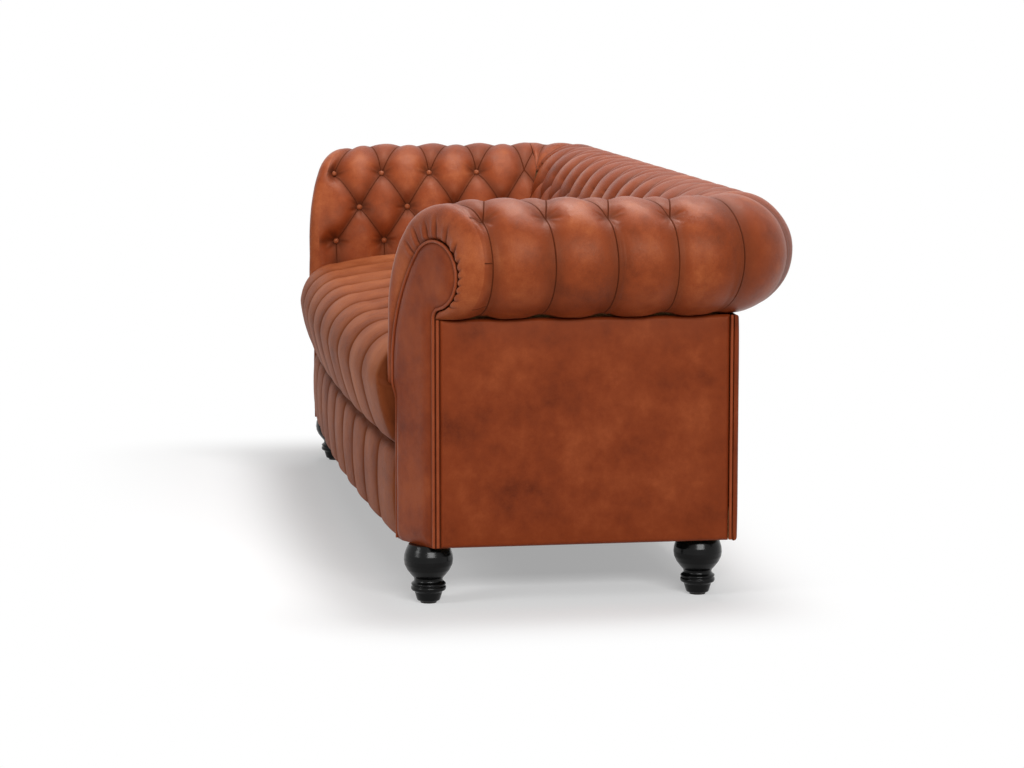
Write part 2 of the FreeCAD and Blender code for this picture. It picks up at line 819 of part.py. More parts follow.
def band_wire(inset, depth):
    """Closed outline of the scroll's end, set in by a distance, at a depth."""
    foot = size("seam_z") + size("band_gap")
    edges = ScrollProfile(inset).edges(arm_place, foot, under_degrees(size("panel_out")))
    tail = end_point(edges[-1])
    corners = [
        tail,
        Vector(tail.x, 0, size("panel_top") - inset),
        Vector(tail.x, 0, foot),
        Vector(size("roll_x"), 0, foot),
        edges[0].Vertexes[0].Point,
    ]
    wire = Part.Wire(edges + [line(start, end) for start, end in zip(corners, corners[1:])])
    stretch = 1 / math.cos(math.radians(size("facing_turn")))
    wire.translate(Vector(0, depth * stretch, 0))
    return wire


def scroll_borders():
    """The pleated band that turns the scroll's end into the facing."""
    round_in = size("border_round")
    wires = [
        band_wire(0, size("border_deep")),
        band_wire(0, round_in),
        band_wire(size("border_ease"), size("border_ease")),
        band_wire(round_in, 0),
    ]
    body = Part.makeLoft(wires, True, True)
    stretch = 1 / math.cos(math.radians(size("facing_turn")))
    edges = facing_edges(size("piping"))
    face = outline_face(edges + [line(end_point(edges[-1]), edges[0].Vertexes[0].Point)])
    face.translate(Vector(0, -size("border_deep"), 0))
    hole = face.extrude(Vector(0, 3 * size("border_deep") * stretch, 0))
    low = size("base_z")
    corner = Vector(size("head_x") - size("facing_head"), -FAR / 2, low)
    stem = Part.makeBox(FAR, FAR, size("panel_top") - low + size("band_gap"), corner)
    band = one_solid(slanted(body).cut([slanted(hole), stem]))
    for name, side in SIDES:
        shaped(f"scroll_border_{name}", mirrored(band, side))


# Seat and front border


def bow_at(x):
    """How far the front stands back at one place along the sofa."""
    return size("front_bow") * (x / size("seat_half")) ** 2


def seat_middle():
    """Y of the seat's crown, halfway between its back and its lip."""
    return (size("roll_y") - size("inside_offset") - size("seat_lip_y")) / 2


def foam_points(x):
    """Nose, turn, lip, crown and rear of the seat foam's upper line at one place."""
    pad, front = size("seat_pad"), -size("foam_front")
    lip_z = size("seat_lip_z")
    share_in, share_down = FOAM_TURN
    return [
        Vector(x, front, size("seat_front_z") - pad),
        Vector(x, front + pad * share_in, lip_z - pad * share_down),
        Vector(x, front + pad, lip_z - pad),
        Vector(x, seat_middle(), size("seat_crown_z") - pad),
        Vector(x, size("roll_y") - size("inside_offset"), size("seat_rear_z") - pad),
    ]


def seat_wire(x, seam):
    """Section of the seat cover at one place, set in by the depth of a seam."""
    back = bow_at(x) + seam
    inside_y = size("roll_y") - size("inside_offset")
    front, lip_y, seam_y = size("seat_front"), size("seat_lip_y"), size("seam_y")
    front_z, lip_z, seam_z = size("seat_front_z"), size("seat_lip_z"), size("seam_z")
    knee = math.sqrt(0.5)
    rear = Vector(x, inside_y, size("seat_rear_z") - seam)
    crown = Vector(x, seat_middle(), size("seat_crown_z") - seam)
    lip = Vector(x, back - seam - lip_y, lip_z - seam)
    turn = Vector(
        x, lip.y - (front - lip_y - seam) * knee, front_z + (lip_z - front_z - seam) * knee
    )
    nose = Vector(x, back - front, front_z)
    belly = Vector(x, back - (front + seam_y) / 2 - size("seat_belly"), (front_z + seam_z) / 2)
    hem = Vector(x, back - seam_y, seam_z)
    inner_nose, inner_turn, inner_lip, inner_crown, inner_rear = foam_points(x)
    under = Vector(x, inner_nose.y, seam_z)
    return Part.Wire([
        arc(rear, crown, lip),
        arc(lip, turn, nose),
        arc(nose, belly, hem),
        line(hem, under),
        line(under, inner_nose),
        arc(inner_nose, inner_turn, inner_lip),
        arc(inner_lip, inner_crown, inner_rear),
        line(inner_rear, rear),
    ])


def channel_places(half):
    """Seams across a width, as many channels as the seat has."""
    count = int(size("channels"))
    pitch = 2 * size("seat_half") / count
    seams = [-size("seat_half") + pitch * step for step in range(count + 1)]
    seams[0], seams[-1] = -half, half
    return list(zip(seams, seams[1:]))


def channelled(wire_at, half):
    """Loft one pad for each channel, full in its middle and drawn in at its seams."""
    deep = size("channel_deep")
    pads = []
    for start, end in channel_places(half):
        middle = (start + end) / 2
        wires = [wire_at(start, deep), wire_at(middle, 0), wire_at(end, deep)]
        pads.append(Part.makeLoft(wires, True, False))
    return one_solid(pads[0].fuse(pads[1:]))


def seat_leather():
    shaped("seat_leather", channelled(seat_wire, size("seat_half")))


def seat_foam():
    """Foam block under the seat cover, with the same crown."""
    half = size("seat_half")
    nose, turn, lip, crown, rear = foam_points(-half)
    front_low = Vector(-half, nose.y, size("deck_z"))
    rear_low = Vector(-half, rear.y, size("deck_z"))
    edges = [
        line(front_low, nose),
        arc(nose, turn, lip),
        arc(lip, crown, rear),
        line(rear, rear_low),
        line(rear_low, front_low),
    ]
    shaped("seat_foam", outline_face(edges).extrude(Vector(2 * half, 0, 0)))


def border_wire(x, seam):
    """Section of the front border at one place."""
    back = bow_at(x) + seam
    seam_y, top, low = size("seam_y"), size("seam_z") - size("seam_gap"), size("base_z")
    rear = -size("border_back")
    upper = Vector(x, back - seam_y, top)
    belly = Vector(x, back - seam_y - size("channel_deep"), (top + low) / 2)
    lower = Vector(x, back - seam_y + size("channel_deep") / 3, low)
    return Part.Wire([
        arc(upper, belly, lower),
        line(lower, Vector(x, rear, low)),
        line(Vector(x, rear, low), Vector(x, rear, top)),
        line(Vector(x, rear, top), upper),
    ])


def front_border():
    shaped("front_border_leather", channelled(border_wire, size("border_half")))


# Outside panels


STEM_FRONT = "facing_front - ( stem_x - roll_x + inside_offset ) * tan ( facing_turn )"


def body_plane(body, role):
    """One of a body's own origin planes."""
    for feature in body.Origin.OriginFeatures:
        if feature.Role == role:
            return feature
    raise ValueError(role)


def panel_body(name, side):
    """Outside arm panel: a slab padded from its side view, with softened edges."""
    body = doc.addObject("PartDesign::Body", name)
    sketch = body.newObject("Sketcher::SketchObject", f"{name}_side")
    sketch.AttachmentSupport = [(body_plane(body, "YZ_Plane"), "")]
    sketch.MapMode = "FlatFace"
    front, rear = -size("post_front"), size("rear_post_y")
    low, top = size("base_z"), size("panel_top")
    corners = [(front, low), (rear, low), (rear, top), (front, top)]
    add_outline(sketch, corners)
    bind(
        sketch,
        Constraints__front=cell(f"{STEM_FRONT} - 3 * piping - piping_gap"),
        Constraints__rear=cell("back_y - panel_thick - 2 * piping"),
        Constraints__low=cell("base_z"),
        Constraints__top=cell("panel_top"),
    )
    doc.recompute()
    pad = body.newObject("PartDesign::Pad", f"{name}_pad")
    pad.Profile = sketch
    bind(pad, Length=cell("panel_thick"))
    doc.recompute()
    fillet = body.newObject("PartDesign::Fillet", f"{name}_round")
    box = pad.Shape.BoundBox
    outer_x = box.XMax if side == RIGHT else box.XMin
    outer = [
        f"Edge{index}"
        for index, edge in enumerate(pad.Shape.Edges, start=1)
        if all(abs(vertex.X - outer_x) < CLOSE for vertex in edge.Vertexes)
    ]
    fillet.Base = (pad, outer)
    bind(fillet, Radius=cell("panel_thick / 3"))
    inner = "panel_x - panel_thick" if side == RIGHT else "0 - panel_x"
    bind(body, Placement__Base__x=cell(inner))
    return keep(body)


def add_outline(sketch, corners):
    """A four-sided outline whose sides are held from the origin by named sizes."""
    count = len(corners)
    for index in range(count):
        start, end = corners[index], corners[(index + 1) % count]
        sketch.addGeometry(Part.LineSegment(Vector(*start, 0), Vector(*end, 0)), False)
    for index in range(count):
        sketch.addConstraint(Sketcher.Constraint("Coincident", index, 2, (index + 1) % count, 1))
    for index, kind in ((0, "Horizontal"), (1, "Vertical"), (2, "Horizontal"), (3, "Vertical")):
        sketch.addConstraint(Sketcher.Constraint(kind, index))
    for name, kind, index, point, value in (
        ("front", "DistanceX", 0, 1, -corners[0][0]),
        ("rear", "DistanceX", 1, 1, corners[1][0]),
        ("low", "DistanceY", 0, 1, corners[0][1]),
        ("top", "DistanceY", 2, 1, corners[2][1]),
    ):
        if name == "front":
            number = sketch.addConstraint(Sketcher.Constraint(kind, index, point, -1, 1, value))
        else:
            number = sketch.addConstraint(Sketcher.Constraint(kind, -1, 1, index, point, value))
        sketch.renameConstraint(number, name)


def outside_back():
    """Outside back panel, wrapped over the rear edges of the arm panels."""
    slab = block(
        "outside_back_slab",
        ("0 - panel_x", "back_y - panel_thick", "base_z"),
        ("2 * panel_x", "panel_thick", "panel_top - base_z"),
    )
    doc.recompute()
    rounded = doc.addObject("Part::Fillet", "outside_back")
    rounded.Base = slab
    soft = size("panel_thick") / 3
    rear = [
        (index, soft, soft)
        for index, edge in enumerate(slab.Shape.Edges, start=1)
        if all(abs(vertex.Y - slab.Shape.BoundBox.YMax) < CLOSE for vertex in edge.Vertexes)
    ]
    rounded.Edges = rear
    keep(rounded)


def panel_piping():
    """Upright piping at the front and rear edges of the outside arm panels."""
    front = f"0 - ( {STEM_FRONT} ) + 2 * piping + piping_gap"
    rear = "back_y - panel_thick - piping"
    for name, side in SIDES:
        x = "panel_x - piping" if side == RIGHT else "0 - panel_x + piping"
        rods = []
        for place, y in (("front", front), ("rear", rear)):
            base = (x, y, "base_z + piping_end")
            tall = "panel_top - base_z - 2 * piping_end"
            rods.append(rod(f"piping_{place}_{name}", base, "piping - piping_slack", tall))
        keep(group(f"panel_piping_{name}", rods))


# Hardwood frame


def screws():
    """Long frame screws through the posts, rails and blocks."""
    rods = []
    for name, side in SIDES:
        sign = "" if side == RIGHT else "0 - "
        middle = f"{sign}( post_x + timber / 2 )"
        for place, y in (("front", "0 - post_front + timber / 2"), ("rear", "rear_post_y + timber / 2")):
            top = "top_rail_z + top_rail_tall - screw_long"
            rods.append(rod(f"screw_top_{place}_{name}", (middle, y, top), "screw_radius", "screw_long"))
            low = "frame_z"
            rods.append(rod(f"screw_low_{place}_{name}", (middle, y, low), "screw_radius", "screw_long"))
    for name, side in SIDES:
        start = "block_in - screw_long / 2" if side == RIGHT else "0 - block_in - screw_long / 2"
        for place, y in (
            ("front", "0 - border_back + rail_thick / 2"),
            ("rear", "rear_post_y + rail_thick / 2"),
        ):
            base = (start, y, "frame_z + screw_rise")
            rods.append(rod(f"screw_rail_{place}_{name}", base, "screw_radius", "screw_long", "x"))
    return keep(group("frame_screws", rods))


def foot_bolts():
    """Hanger bolts that join each foot to its corner block."""
    rods = []
    for name, side in SIDES:
        x = "foot_x" if side == RIGHT else "0 - foot_x"
        for place, y in (("front", "0 - foot_front"), ("rear", "foot_rear")):
            rods.append(
                rod(f"bolt_{place}_{name}", (x, y, "base_z - bolt_grip"), "bolt_radius", "2 * bolt_grip")
            )
    return keep(group("foot_bolts", rods))


def frame(fasteners):
    """Rails and posts, each drilled for its screws."""
    long_rail = ("2 * block_in", "rail_thick", "seat_rail_top - frame_z")
    rail = block("front_rail_plain", ("0 - block_in", "0 - border_back", "frame_z"), long_rail)
    drilled("front_seat_rail", rail, fasteners)
    rail = block("rear_rail_plain", ("0 - block_in", "rear_post_y", "frame_z"), long_rail)
    drilled("rear_seat_rail", rail, fasteners)
    run = "post_front - timber + rear_post_y"
    behind = "0 - post_front + timber"
    for name, side in SIDES:
        tall = ("timber", "timber", "top_rail_z - block_top")
        post = side_block(f"front_post_plain_{name}", side, "post_x", "0 - post_front", "block_top", tall)
        drilled(f"front_post_{name}", post, fasteners)
        post = side_block(f"rear_post_plain_{name}", side, "post_x", "rear_post_y", "block_top", tall)
        drilled(f"rear_post_{name}", post, fasteners)
        span = ("timber", run, "side_rail_top - block_top")
        keep(side_block(f"side_seat_rail_{name}", side, "post_x", behind, "block_top", span))
        span = ("timber", run, "lower_rail_tall")
        keep(side_block(f"arm_lower_rail_{name}", side, "post_x", behind, "lower_rail_z", span))
        front = "0 - post_front + top_rail_back"
        span = ("top_rail_wide", "post_front - top_rail_back + rear_post_y", "top_rail_tall")
        top = side_block(f"arm_top_plain_{name}", side, "post_x", front, "top_rail_z", span)
        drilled(f"arm_top_rail_{name}", top, fasteners)
        low = "lower_rail_z + lower_rail_tall"
        span = ("timber", "timber", "top_rail_z - lower_rail_z - lower_rail_tall")
        keep(side_block(f"back_upright_{name}", side, "cross_x", "rear_post_y", low, span))
        front = "0 - border_back + rail_thick"
        span = ("cross_wide", "border_back - rail_thick + rear_post_y", "cross_tall")
        low = "frame_z + cross_tall / 2"
        keep(side_block(f"seat_cross_rail_{name}", side, "cross_x", front, low, span))
    top = block(
        "back_top_plain",
        ("0 - post_x - timber + back_rail_short", "rear_post_y", "top_rail_z"),
        ("2 * ( post_x + timber - back_rail_short )", "back_rail_wide", "top_rail_tall"),
    )
    drilled("back_top_rail", top, fasteners)
    keep(block(
        "back_lower_rail",
        ("0 - post_x", "rear_post_y", "lower_rail_z"),
        ("2 * post_x", "timber", "lower_rail_tall"),
    ))


def corner_blocks(screw_group, bolt_group):
    """Blocks that take the feet; the front ones are cut to the turn of the facing."""
    room = shaped_tool("behind_right_facing", behind_facing(size("facing_thick")))
    room_left = shaped_tool("behind_left_facing", mirrored(behind_facing(size("facing_thick")), LEFT))
    fasteners = group("block_fasteners", [screw_group, bolt_group])
    for name, side in SIDES:
        span = ("block_out - block_in", "facing_front - front_block_rear", "block_top - base_z")
        plain = side_block(f"front_block_plain_{name}", side, "block_in", "0 - facing_front", "base_z", span)
        trimmed = doc.addObject("Part::Common", f"front_block_trimmed_{name}")
        trimmed.Base = plain
        trimmed.Tool = room if side == RIGHT else room_left
        drilled(f"corner_block_front_{name}", trimmed, fasteners)
        span = ("block_out - block_in", "back_y - panel_thick - rear_block_front", "block_top - base_z")
        plain = side_block(f"rear_block_plain_{name}", side, "block_in", "rear_block_front", "base_z", span)
        drilled(f"corner_block_rear_{name}", plain, fasteners)


def shaped_tool(name, shape):
    """A construction shape that is no piece of the sofa."""
    tool = doc.addObject("Part::Feature", name)
    tool.Shape = shape
    return tool


# Springing and cloth


def spring_wire(x):
    """One sinuous spring, from the front rail to the rear rail."""
    wide = size("spring_wide")
    front = -size("border_back") + size("rail_thick") / 2
    rear = size("rear_post_y") + size("rail_thick") / 2
    loops = int(size("spring_loops"))
    step = (rear - front) / loops
    level = size("spring_z")
    edges = []
    for loop in range(loops):
        hand = 1 if loop % 2 == 0 else -1
        start_y = front + step * loop
        start = Vector(x - hand * wide / 2, start_y, level)
        end = Vector(x + hand * wide / 2, start_y, level)
        edges.append(line(start, end))
        bulge = Vector(x + hand * (wide / 2 + step / 2), start_y + step / 2, level)
        edges.append(arc(end, bulge, Vector(end.x, start_y + step, level)))
    path = Part.Wire(edges)
    ring = Part.Wire(Part.makeCircle(size("wire"), edges[0].Vertexes[0].Point, Vector(1, 0, 0)))
    return path.makePipeShell([ring], True, False)


def springs():
    count = int(size("springs"))
    pitch = 2 * size("seat_half") / count
    places = [-size("seat_half") + pitch * (step + 0.5) for step in range(count)]
    shaped("seat_springs", Part.makeCompound([spring_wire(x) for x in places]))
    clips = []
    thick = size("spring_z") - size("wire") - size("seat_rail_top")
    long = size("clip_long")
    for y in (-size("border_back") + size("rail_thick") / 2, size("rear_post_y") + size("rail_thick") / 2):
        for x in places:
            base = Vector(x - size("spring_wide") / 2, y - long / 2, size("seat_rail_top"))
            clips.append(Part.makeBox(size("spring_wide"), long, thick, base))
    shaped("spring_clips", Part.makeCompound(clips))


def webbing():
    """Straps that carry the foam of the arms and the back."""
    wide, thick = size("web_wide"), size("web_thick")
    low, tall = size("lower_rail_z"), size("top_rail_z") - size("lower_rail_z")
    count = int(size("arm_straps"))
    straps = []
    for step in range(count):
        y = (step - (count - 1) / 2) * size("arm_strap_pitch") - wide
        strap = Part.makeBox(thick, wide, tall, Vector(size("post_x") - thick, y, low))
        straps += [mirrored(strap, side) for side in (LEFT, RIGHT)]
    shaped("arm_webbing", Part.makeCompound(straps))
    straps = []
    count = int(size("back_straps"))
    pitch = 2 * size("post_x") / (count + 1)
    for step in range(1, count + 1):
        base = Vector(-size("post_x") + pitch * step - wide / 2, size("rear_post_y") - thick, low)
        straps.append(Part.makeBox(wide, thick, tall, base))
    shaped("back_webbing", Part.makeCompound(straps))


def dust_cloth():
    """Cloth under the frame, notched round the corner blocks."""
    half = "( panel_x - panel_thick - cloth_gap )"
    whole = block(
        "cloth_whole",
        (f"0 - {half}", "0 - border_back + cloth_gap", "frame_z - cloth_thick"),
        (f"2 * {half}", "border_back + back_y - panel_thick - 2 * cloth_gap", "cloth_thick"),
    )
    notches = []
    inner, low = "block_in - cloth_gap", "frame_z - 2 * cloth_thick"
    wide, tall = "panel_x - block_in", "3 * cloth_thick"
    for name, side in SIDES:
        span = (wide, "facing_front - front_block_rear + cloth_gap", tall)
        notches.append(side_block(f"notch_front_{name}", side, inner, "0 - facing_front", low, span))
        span = (wide, "back_y - rear_block_front", tall)
        front = "rear_block_front - cloth_gap"
        notches.append(side_block(f"notch_rear_{name}", side, inner, front, low, span))
    cut = doc.addObject("Part::Cut", "dust_cloth")
    cut.Base = whole
    cut.Tool = group("cloth_notches", notches)
    keep(cut)


# Feet


def foot_profile():
    """Half section of a turned foot, from its axis: a cone, a ring, a neck and a bulb."""
    low, top = size("glide_tall"), size("base_z")
    toe, ankle = size("foot_toe"), size("foot_ankle")
    ring, ring_low, ring_high = size("foot_ring"), size("foot_ring_low"), size("foot_ring_high")
    neck, neck_z = size("foot_neck"), size("foot_neck_z")
    bulb, bulb_z, crown = size("foot_bulb"), size("foot_bulb_z"), size("foot_crown")
    lip = size("foot_lip")

    def spot(radius, height):
        return Vector(radius, 0, height)

    under = arc_middle(spot(neck, neck_z), spot(bulb, bulb_z), size("foot_swell"))
    over = arc_middle(spot(bulb, bulb_z), spot(crown, top), size("foot_shoulder"))
    return [
        line(spot(0, low), spot(toe, low)),
        line(spot(toe, low), spot(ankle, ring_low - lip)),
        line(spot(ankle, ring_low - lip), spot(ring - lip, ring_low)),
        arc(spot(ring - lip, ring_low), spot(ring, (ring_low + ring_high) / 2), spot(ring - lip, ring_high)),
        line(spot(ring - lip, ring_high), spot(neck, ring_high + lip)),
        line(spot(neck, ring_high + lip), spot(neck, neck_z)),
        arc(spot(neck, neck_z), under, spot(bulb, bulb_z)),
        arc(spot(bulb, bulb_z), over, spot(crown, top)),
        line(spot(crown, top), spot(0, top)),
        line(spot(0, top), spot(0, low)),
    ]


def arc_middle(start, end, bulge):
    """Middle of a shallow arc that bulges away from the axis."""
    run = (end - start).normalize()
    out = Vector(run.z, 0, -run.x)
    return (start + end) * 0.5 + out * bulge


def foot(name, side, y_text, bolts):
    """A turned foot, bored for its bolt."""
    turned = outline_face(foot_profile()).revolve(Vector(), UP, 360)
    plain = shaped_tool(f"{name}_turned", turned)
    x = "foot_x" if side == RIGHT else "0 - foot_x"
    bind(plain, Placement__Base__x=cell(x), Placement__Base__y=cell(y_text))
    return drilled(name, plain, bolts)


def feet(bolts):
    glides = []
    for name, side in SIDES:
        x = "foot_x" if side == RIGHT else "0 - foot_x"
        for place, y in (("front", "0 - foot_front"), ("rear", "foot_rear")):
            foot(f"foot_{place}_{name}", side, y, bolts)
            glides.append(rod(f"glide_{place}_{name}", (x, y, "0"), "glide_radius", "glide_tall"))
    keep(group("foot_glides", glides))


def build():
    screw_group = screws()
    bolt_group = foot_bolts()
    frame(screw_group)
    corner_blocks(screw_group, bolt_group)
    springs()
    webbing()
    dust_cloth()
    feet(bolt_group)
    foams()
    arm_leathers()
    back_leather()
    for name, side in SIDES:
        panel_body(f"outside_arm_{name}", side)
    buttons()
    facings()
    facing_piping()
    scroll_borders()
    seat_leather()
    seat_foam()
    front_border()
    outside_back()
    panel_piping()
    doc.recompute()


def check_and_write():
    """Stop on any broken object, then write one STEP file for each piece."""
    os.makedirs("parts", exist_ok=True)
    for item in doc.Objects:
        if any(word in item.State for word in ("Invalid", "Error")):
            raise RuntimeError(f"{item.Name}: {item.State}")
    for node in NODES:
        if node.Shape.isNull() or not node.Shape.isValid() or not node.Shape.Solids:
            raise RuntimeError(f"{node.Name}: no valid solid")
    for node in NODES:
        node.Label = node.Name
        node.Shape.exportStep(f"parts/{node.Label}.step")


build()
check_and_write()
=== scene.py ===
"""A buttoned scroll-arm sofa in brown leather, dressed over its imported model.

The geometry below is worked out in millimetres in the sofa's own frame: X along the sofa, Y to its
back, Z up. Meshes are written in metres.
"""

from __future__ import annotations

import logging
import math
from dataclasses import dataclass, field
from enum import Enum
from typing import Any, Callable, Sequence

import bpy
import numpy as np
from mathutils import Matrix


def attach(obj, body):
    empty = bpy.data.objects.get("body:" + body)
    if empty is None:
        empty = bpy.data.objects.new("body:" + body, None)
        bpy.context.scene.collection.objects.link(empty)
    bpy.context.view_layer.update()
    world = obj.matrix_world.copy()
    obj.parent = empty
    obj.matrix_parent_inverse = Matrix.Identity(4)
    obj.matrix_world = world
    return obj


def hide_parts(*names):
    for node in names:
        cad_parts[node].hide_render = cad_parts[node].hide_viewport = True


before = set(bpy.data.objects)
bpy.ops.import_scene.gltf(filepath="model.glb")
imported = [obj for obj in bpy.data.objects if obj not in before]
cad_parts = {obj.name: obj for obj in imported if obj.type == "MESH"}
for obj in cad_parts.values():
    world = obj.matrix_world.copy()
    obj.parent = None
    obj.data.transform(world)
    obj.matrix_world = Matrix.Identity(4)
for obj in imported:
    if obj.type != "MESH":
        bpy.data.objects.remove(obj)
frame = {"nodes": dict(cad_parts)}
LOG = logging.getLogger("sofa")
MM = 0.001
Array = np.ndarray
Colour = tuple[float, float, float, float]
Sites = list[tuple[float, float, float]]


# ---------------------------------------------------------------- numbers


def ease(low: float, high: float, value: Array | float) -> Array:
    """A smooth step.

    Args:
        low: Where the step starts.
        high: Where it ends.
        value: The places to work it out at.

    Returns:
        0 before low, 1 after high and a smooth rise between.
    """
    share = np.clip((np.asarray(value, float) - low) / (high - low), 0.0, 1.0)
    return share * share * (3.0 - 2.0 * share)


def to_whole(value: Array) -> Array:
    """Distance of each number to the nearest whole one."""
    return np.abs(value - np.round(value))


def bell(value: Array, width: Array | float, middle: float = 0.0) -> Array:
    """A bell curve.

    Args:
        value: The places to work it out at.
        width: Distance from the middle at which it has fallen to about a third.
        middle: Where it is 1.

    Returns:
        1 at the middle, falling to 0 on both sides.
    """
    return np.exp(-(((value - middle) / width) ** 2))


def edge_fall(gap: Array, radius: float) -> Array:
    """How a surface falls away over a rounded edge.

    Args:
        gap: Distance from the edge.
        radius: Distance at which the rounding starts.

    Returns:
        0 beyond the rounding and 1 at the edge.
    """
    share = np.clip(1.0 - gap / radius, 0.0, 1.0)
    return 1.0 - np.sqrt(1.0 - share**2)


def unevenness(first: Array, second: Array, wave: float, seed: int, waves: int = 7) -> Array:
    """Gentle, seeded unevenness over a surface.

    Args:
        first: One surface coordinate, in millimetres.
        second: The other one.
        wave: The typical wave length, in millimetres.
        seed: Chooses the pattern.
        waves: How many waves are added.

    Returns:
        Values of about -1 to 1.
    """
    chance = np.random.default_rng(seed)
    total = np.zeros(np.broadcast(first, second).shape)
    for _ in range(waves):
        turn = chance.uniform(0.0, math.pi)
        number = 2.0 * math.pi / (wave * chance.uniform(0.6, 1.7))
        phase = chance.uniform(0.0, 2.0 * math.pi)
        total = total + np.cos(number * (first * math.cos(turn) + second * math.sin(turn)) + phase)
    return total / math.sqrt(waves * 2.0)


def arc_through(start: Sequence[float], middle: Sequence[float], end: Sequence[float], count: int) -> Array:
    """Points along the arc through three points.

    Args:
        start: First point, two numbers.
        middle: A point on the arc.
        end: Last point.
        count: How many points are wanted.

    Returns:
        An array of count points.
    """
    a, b, c = (np.asarray(p, float) for p in (start, middle, end))
    lines = np.array([2.0 * (b - a), 2.0 * (c - b)])
    hub = np.linalg.solve(lines, np.array([b @ b - a @ a, c @ c - b @ b]))
    turns = np.unwrap([math.atan2(*(p - hub)[::-1]) for p in (a, b, c)])
    angles = np.linspace(turns[0], turns[2], count)
    return hub + np.linalg.norm(a - hub) * np.stack([np.cos(angles), np.sin(angles)], axis=1)


def travelled(points: Array) -> Array:
    """Distance along a line from its first point to each of its points."""
    return np.concatenate([[0.0], np.cumsum(np.linalg.norm(np.diff(points, axis=0), axis=1))])


def along(points: Array, count: int) -> Array:
    """The same line with evenly spaced points.

    Args:
        points: Points of a line, one in each row.
        count: How many points are wanted.

    Returns:
        An array of count points.
    """
    reach = travelled(points)
    wanted = np.linspace(0.0, reach[-1], count)
    return np.stack([np.interp(wanted, reach, points[:, axis]) for axis in range(points.shape[1])], axis=1)


def points_at(x: Array | float, y: Array | float, z: Array | float) -> Array:
    """Points from their coordinates.

    Args:
        x: X, one for all points, for each row, for each column or for each point.
        y: Y, the same way.
        z: Z, the same way.

    Returns:
        The points.
    """
    return np.stack(np.broadcast_arrays(x, y, z), axis=-1)


# ---------------------------------------------------------------- meshes


@dataclass
class Sheet:
    """A surface given as rows and columns of points, with values that its material reads."""

    points: Array
    marks: dict[str, Array] = field(default_factory=dict)
    ring: bool = False
    flip: bool = False

    def mirrored(self) -> "Sheet":
        """The same surface on the other side of the sofa."""
        points = self.points * np.array([-1.0, 1.0, 1.0])
        return Sheet(points, self.marks, self.ring, not self.flip)

    def faces(self, start: int) -> Array:
        """The corner numbers of its faces.

        Args:
            start: Number of the first point.

        Returns:
            Four numbers for each face.
        """
        rows, columns = self.points.shape[:2]
        order = np.arange(rows * columns).reshape(rows, columns) + start
        if self.ring:
            order = np.concatenate([order, order[:, :1]], axis=1)
        corners = [order[:-1, :-1], order[:-1, 1:], order[1:, 1:], order[1:, :-1]]
        if self.flip:
            corners.reverse()
        return np.stack(corners, axis=-1).reshape(-1, 4)


def make_mesh(name: str, sheets: Sequence[Sheet], weld: float = 0.0) -> bpy.types.Object:
    """Makes one object of several surfaces.

    Args:
        name: The piece's name.
        sheets: Its surfaces.
        weld: Points closer than this, in millimetres, become one. 0 leaves them.

    Returns:
        The new object, smooth shaded, with a value on each point for each mark.
    """
    starts = np.cumsum([0] + [s.points.shape[0] * s.points.shape[1] for s in sheets])
    spots = np.concatenate([s.points.reshape(-1, 3) for s in sheets]) * MM
    quads = np.concatenate([s.faces(int(b)) for s, b in zip(sheets, starts)])
    mesh = bpy.data.meshes.new(name)
    mesh.vertices.add(len(spots))
    mesh.vertices.foreach_set("co", spots.astype(np.float32).ravel())
    mesh.loops.add(quads.size)
    mesh.loops.foreach_set("vertex_index", quads.astype(np.int32).ravel())
    mesh.polygons.add(len(quads))
    mesh.polygons.foreach_set("loop_start", np.arange(0, quads.size, 4, dtype=np.int32))
    mesh.polygons.foreach_set("use_smooth", np.ones(len(quads), bool))
    names = sorted({key for s in sheets for key in s.marks})
    for key in names:
        values = [np.broadcast_to(s.marks.get(key, 0.0), s.points.shape[:2]).ravel() for s in sheets]
        layer = mesh.attributes.new(key, "FLOAT", "POINT")
        layer.data.foreach_set("value", np.concatenate(values).astype(np.float32))
    mesh.update(calc_edges=True)
    piece = bpy.data.objects.new(name, mesh)
    bpy.context.scene.collection.objects.link(piece)
    if weld:
        use = piece.modifiers.new("weld", "WELD")
        use.merge_threshold = weld * MM
        settle(piece)
    piece.data.validate()
    return piece


def settle(piece: bpy.types.Object) -> None:
    """Applies a piece's modifiers to its mesh.

    Args:
        piece: The piece. It keeps its mesh's name.
    """
    graph = bpy.context.evaluated_depsgraph_get()
    old = piece.data
    piece.data = bpy.data.meshes.new_from_object(piece.evaluated_get(graph), depsgraph=graph)
    piece.modifiers.clear()
    name = old.name
    bpy.data.meshes.remove(old)
    piece.data.name = name


def tube(path: Array, radius: float, sides: int = 12) -> Sheet:
    """A round cord along a path.

    Args:
        path: Its middle line, in millimetres.
        radius: Its radius.
        sides: How many faces go round it.

    Returns:
        The surface, closed round but open at its ends.
    """
    heading = np.gradient(path, axis=0)
    heading /= np.linalg.norm(heading, axis=1, keepdims=True)
    start = np.array([0.0, 1.0, 0.0]) if abs(heading[0, 1]) < 0.9 else np.array([1.0, 0.0, 0.0])
    sides_at = []
    across = start - heading[0] * (start @ heading[0])
    for step in heading:
        across = across - step * (across @ step)
        across /= np.linalg.norm(across)
        sides_at.append(across)
    first = np.array(sides_at)
    second = np.cross(heading, first)
    turns = np.linspace(0.0, 2.0 * math.pi, sides, endpoint=False)
    ring = first[:, None] * np.cos(turns)[None, :, None] + second[:, None] * np.sin(turns)[None, :, None]
    return Sheet(path[:, None] + radius * ring, ring=True)


# ---------------------------------------------------------------- shaders


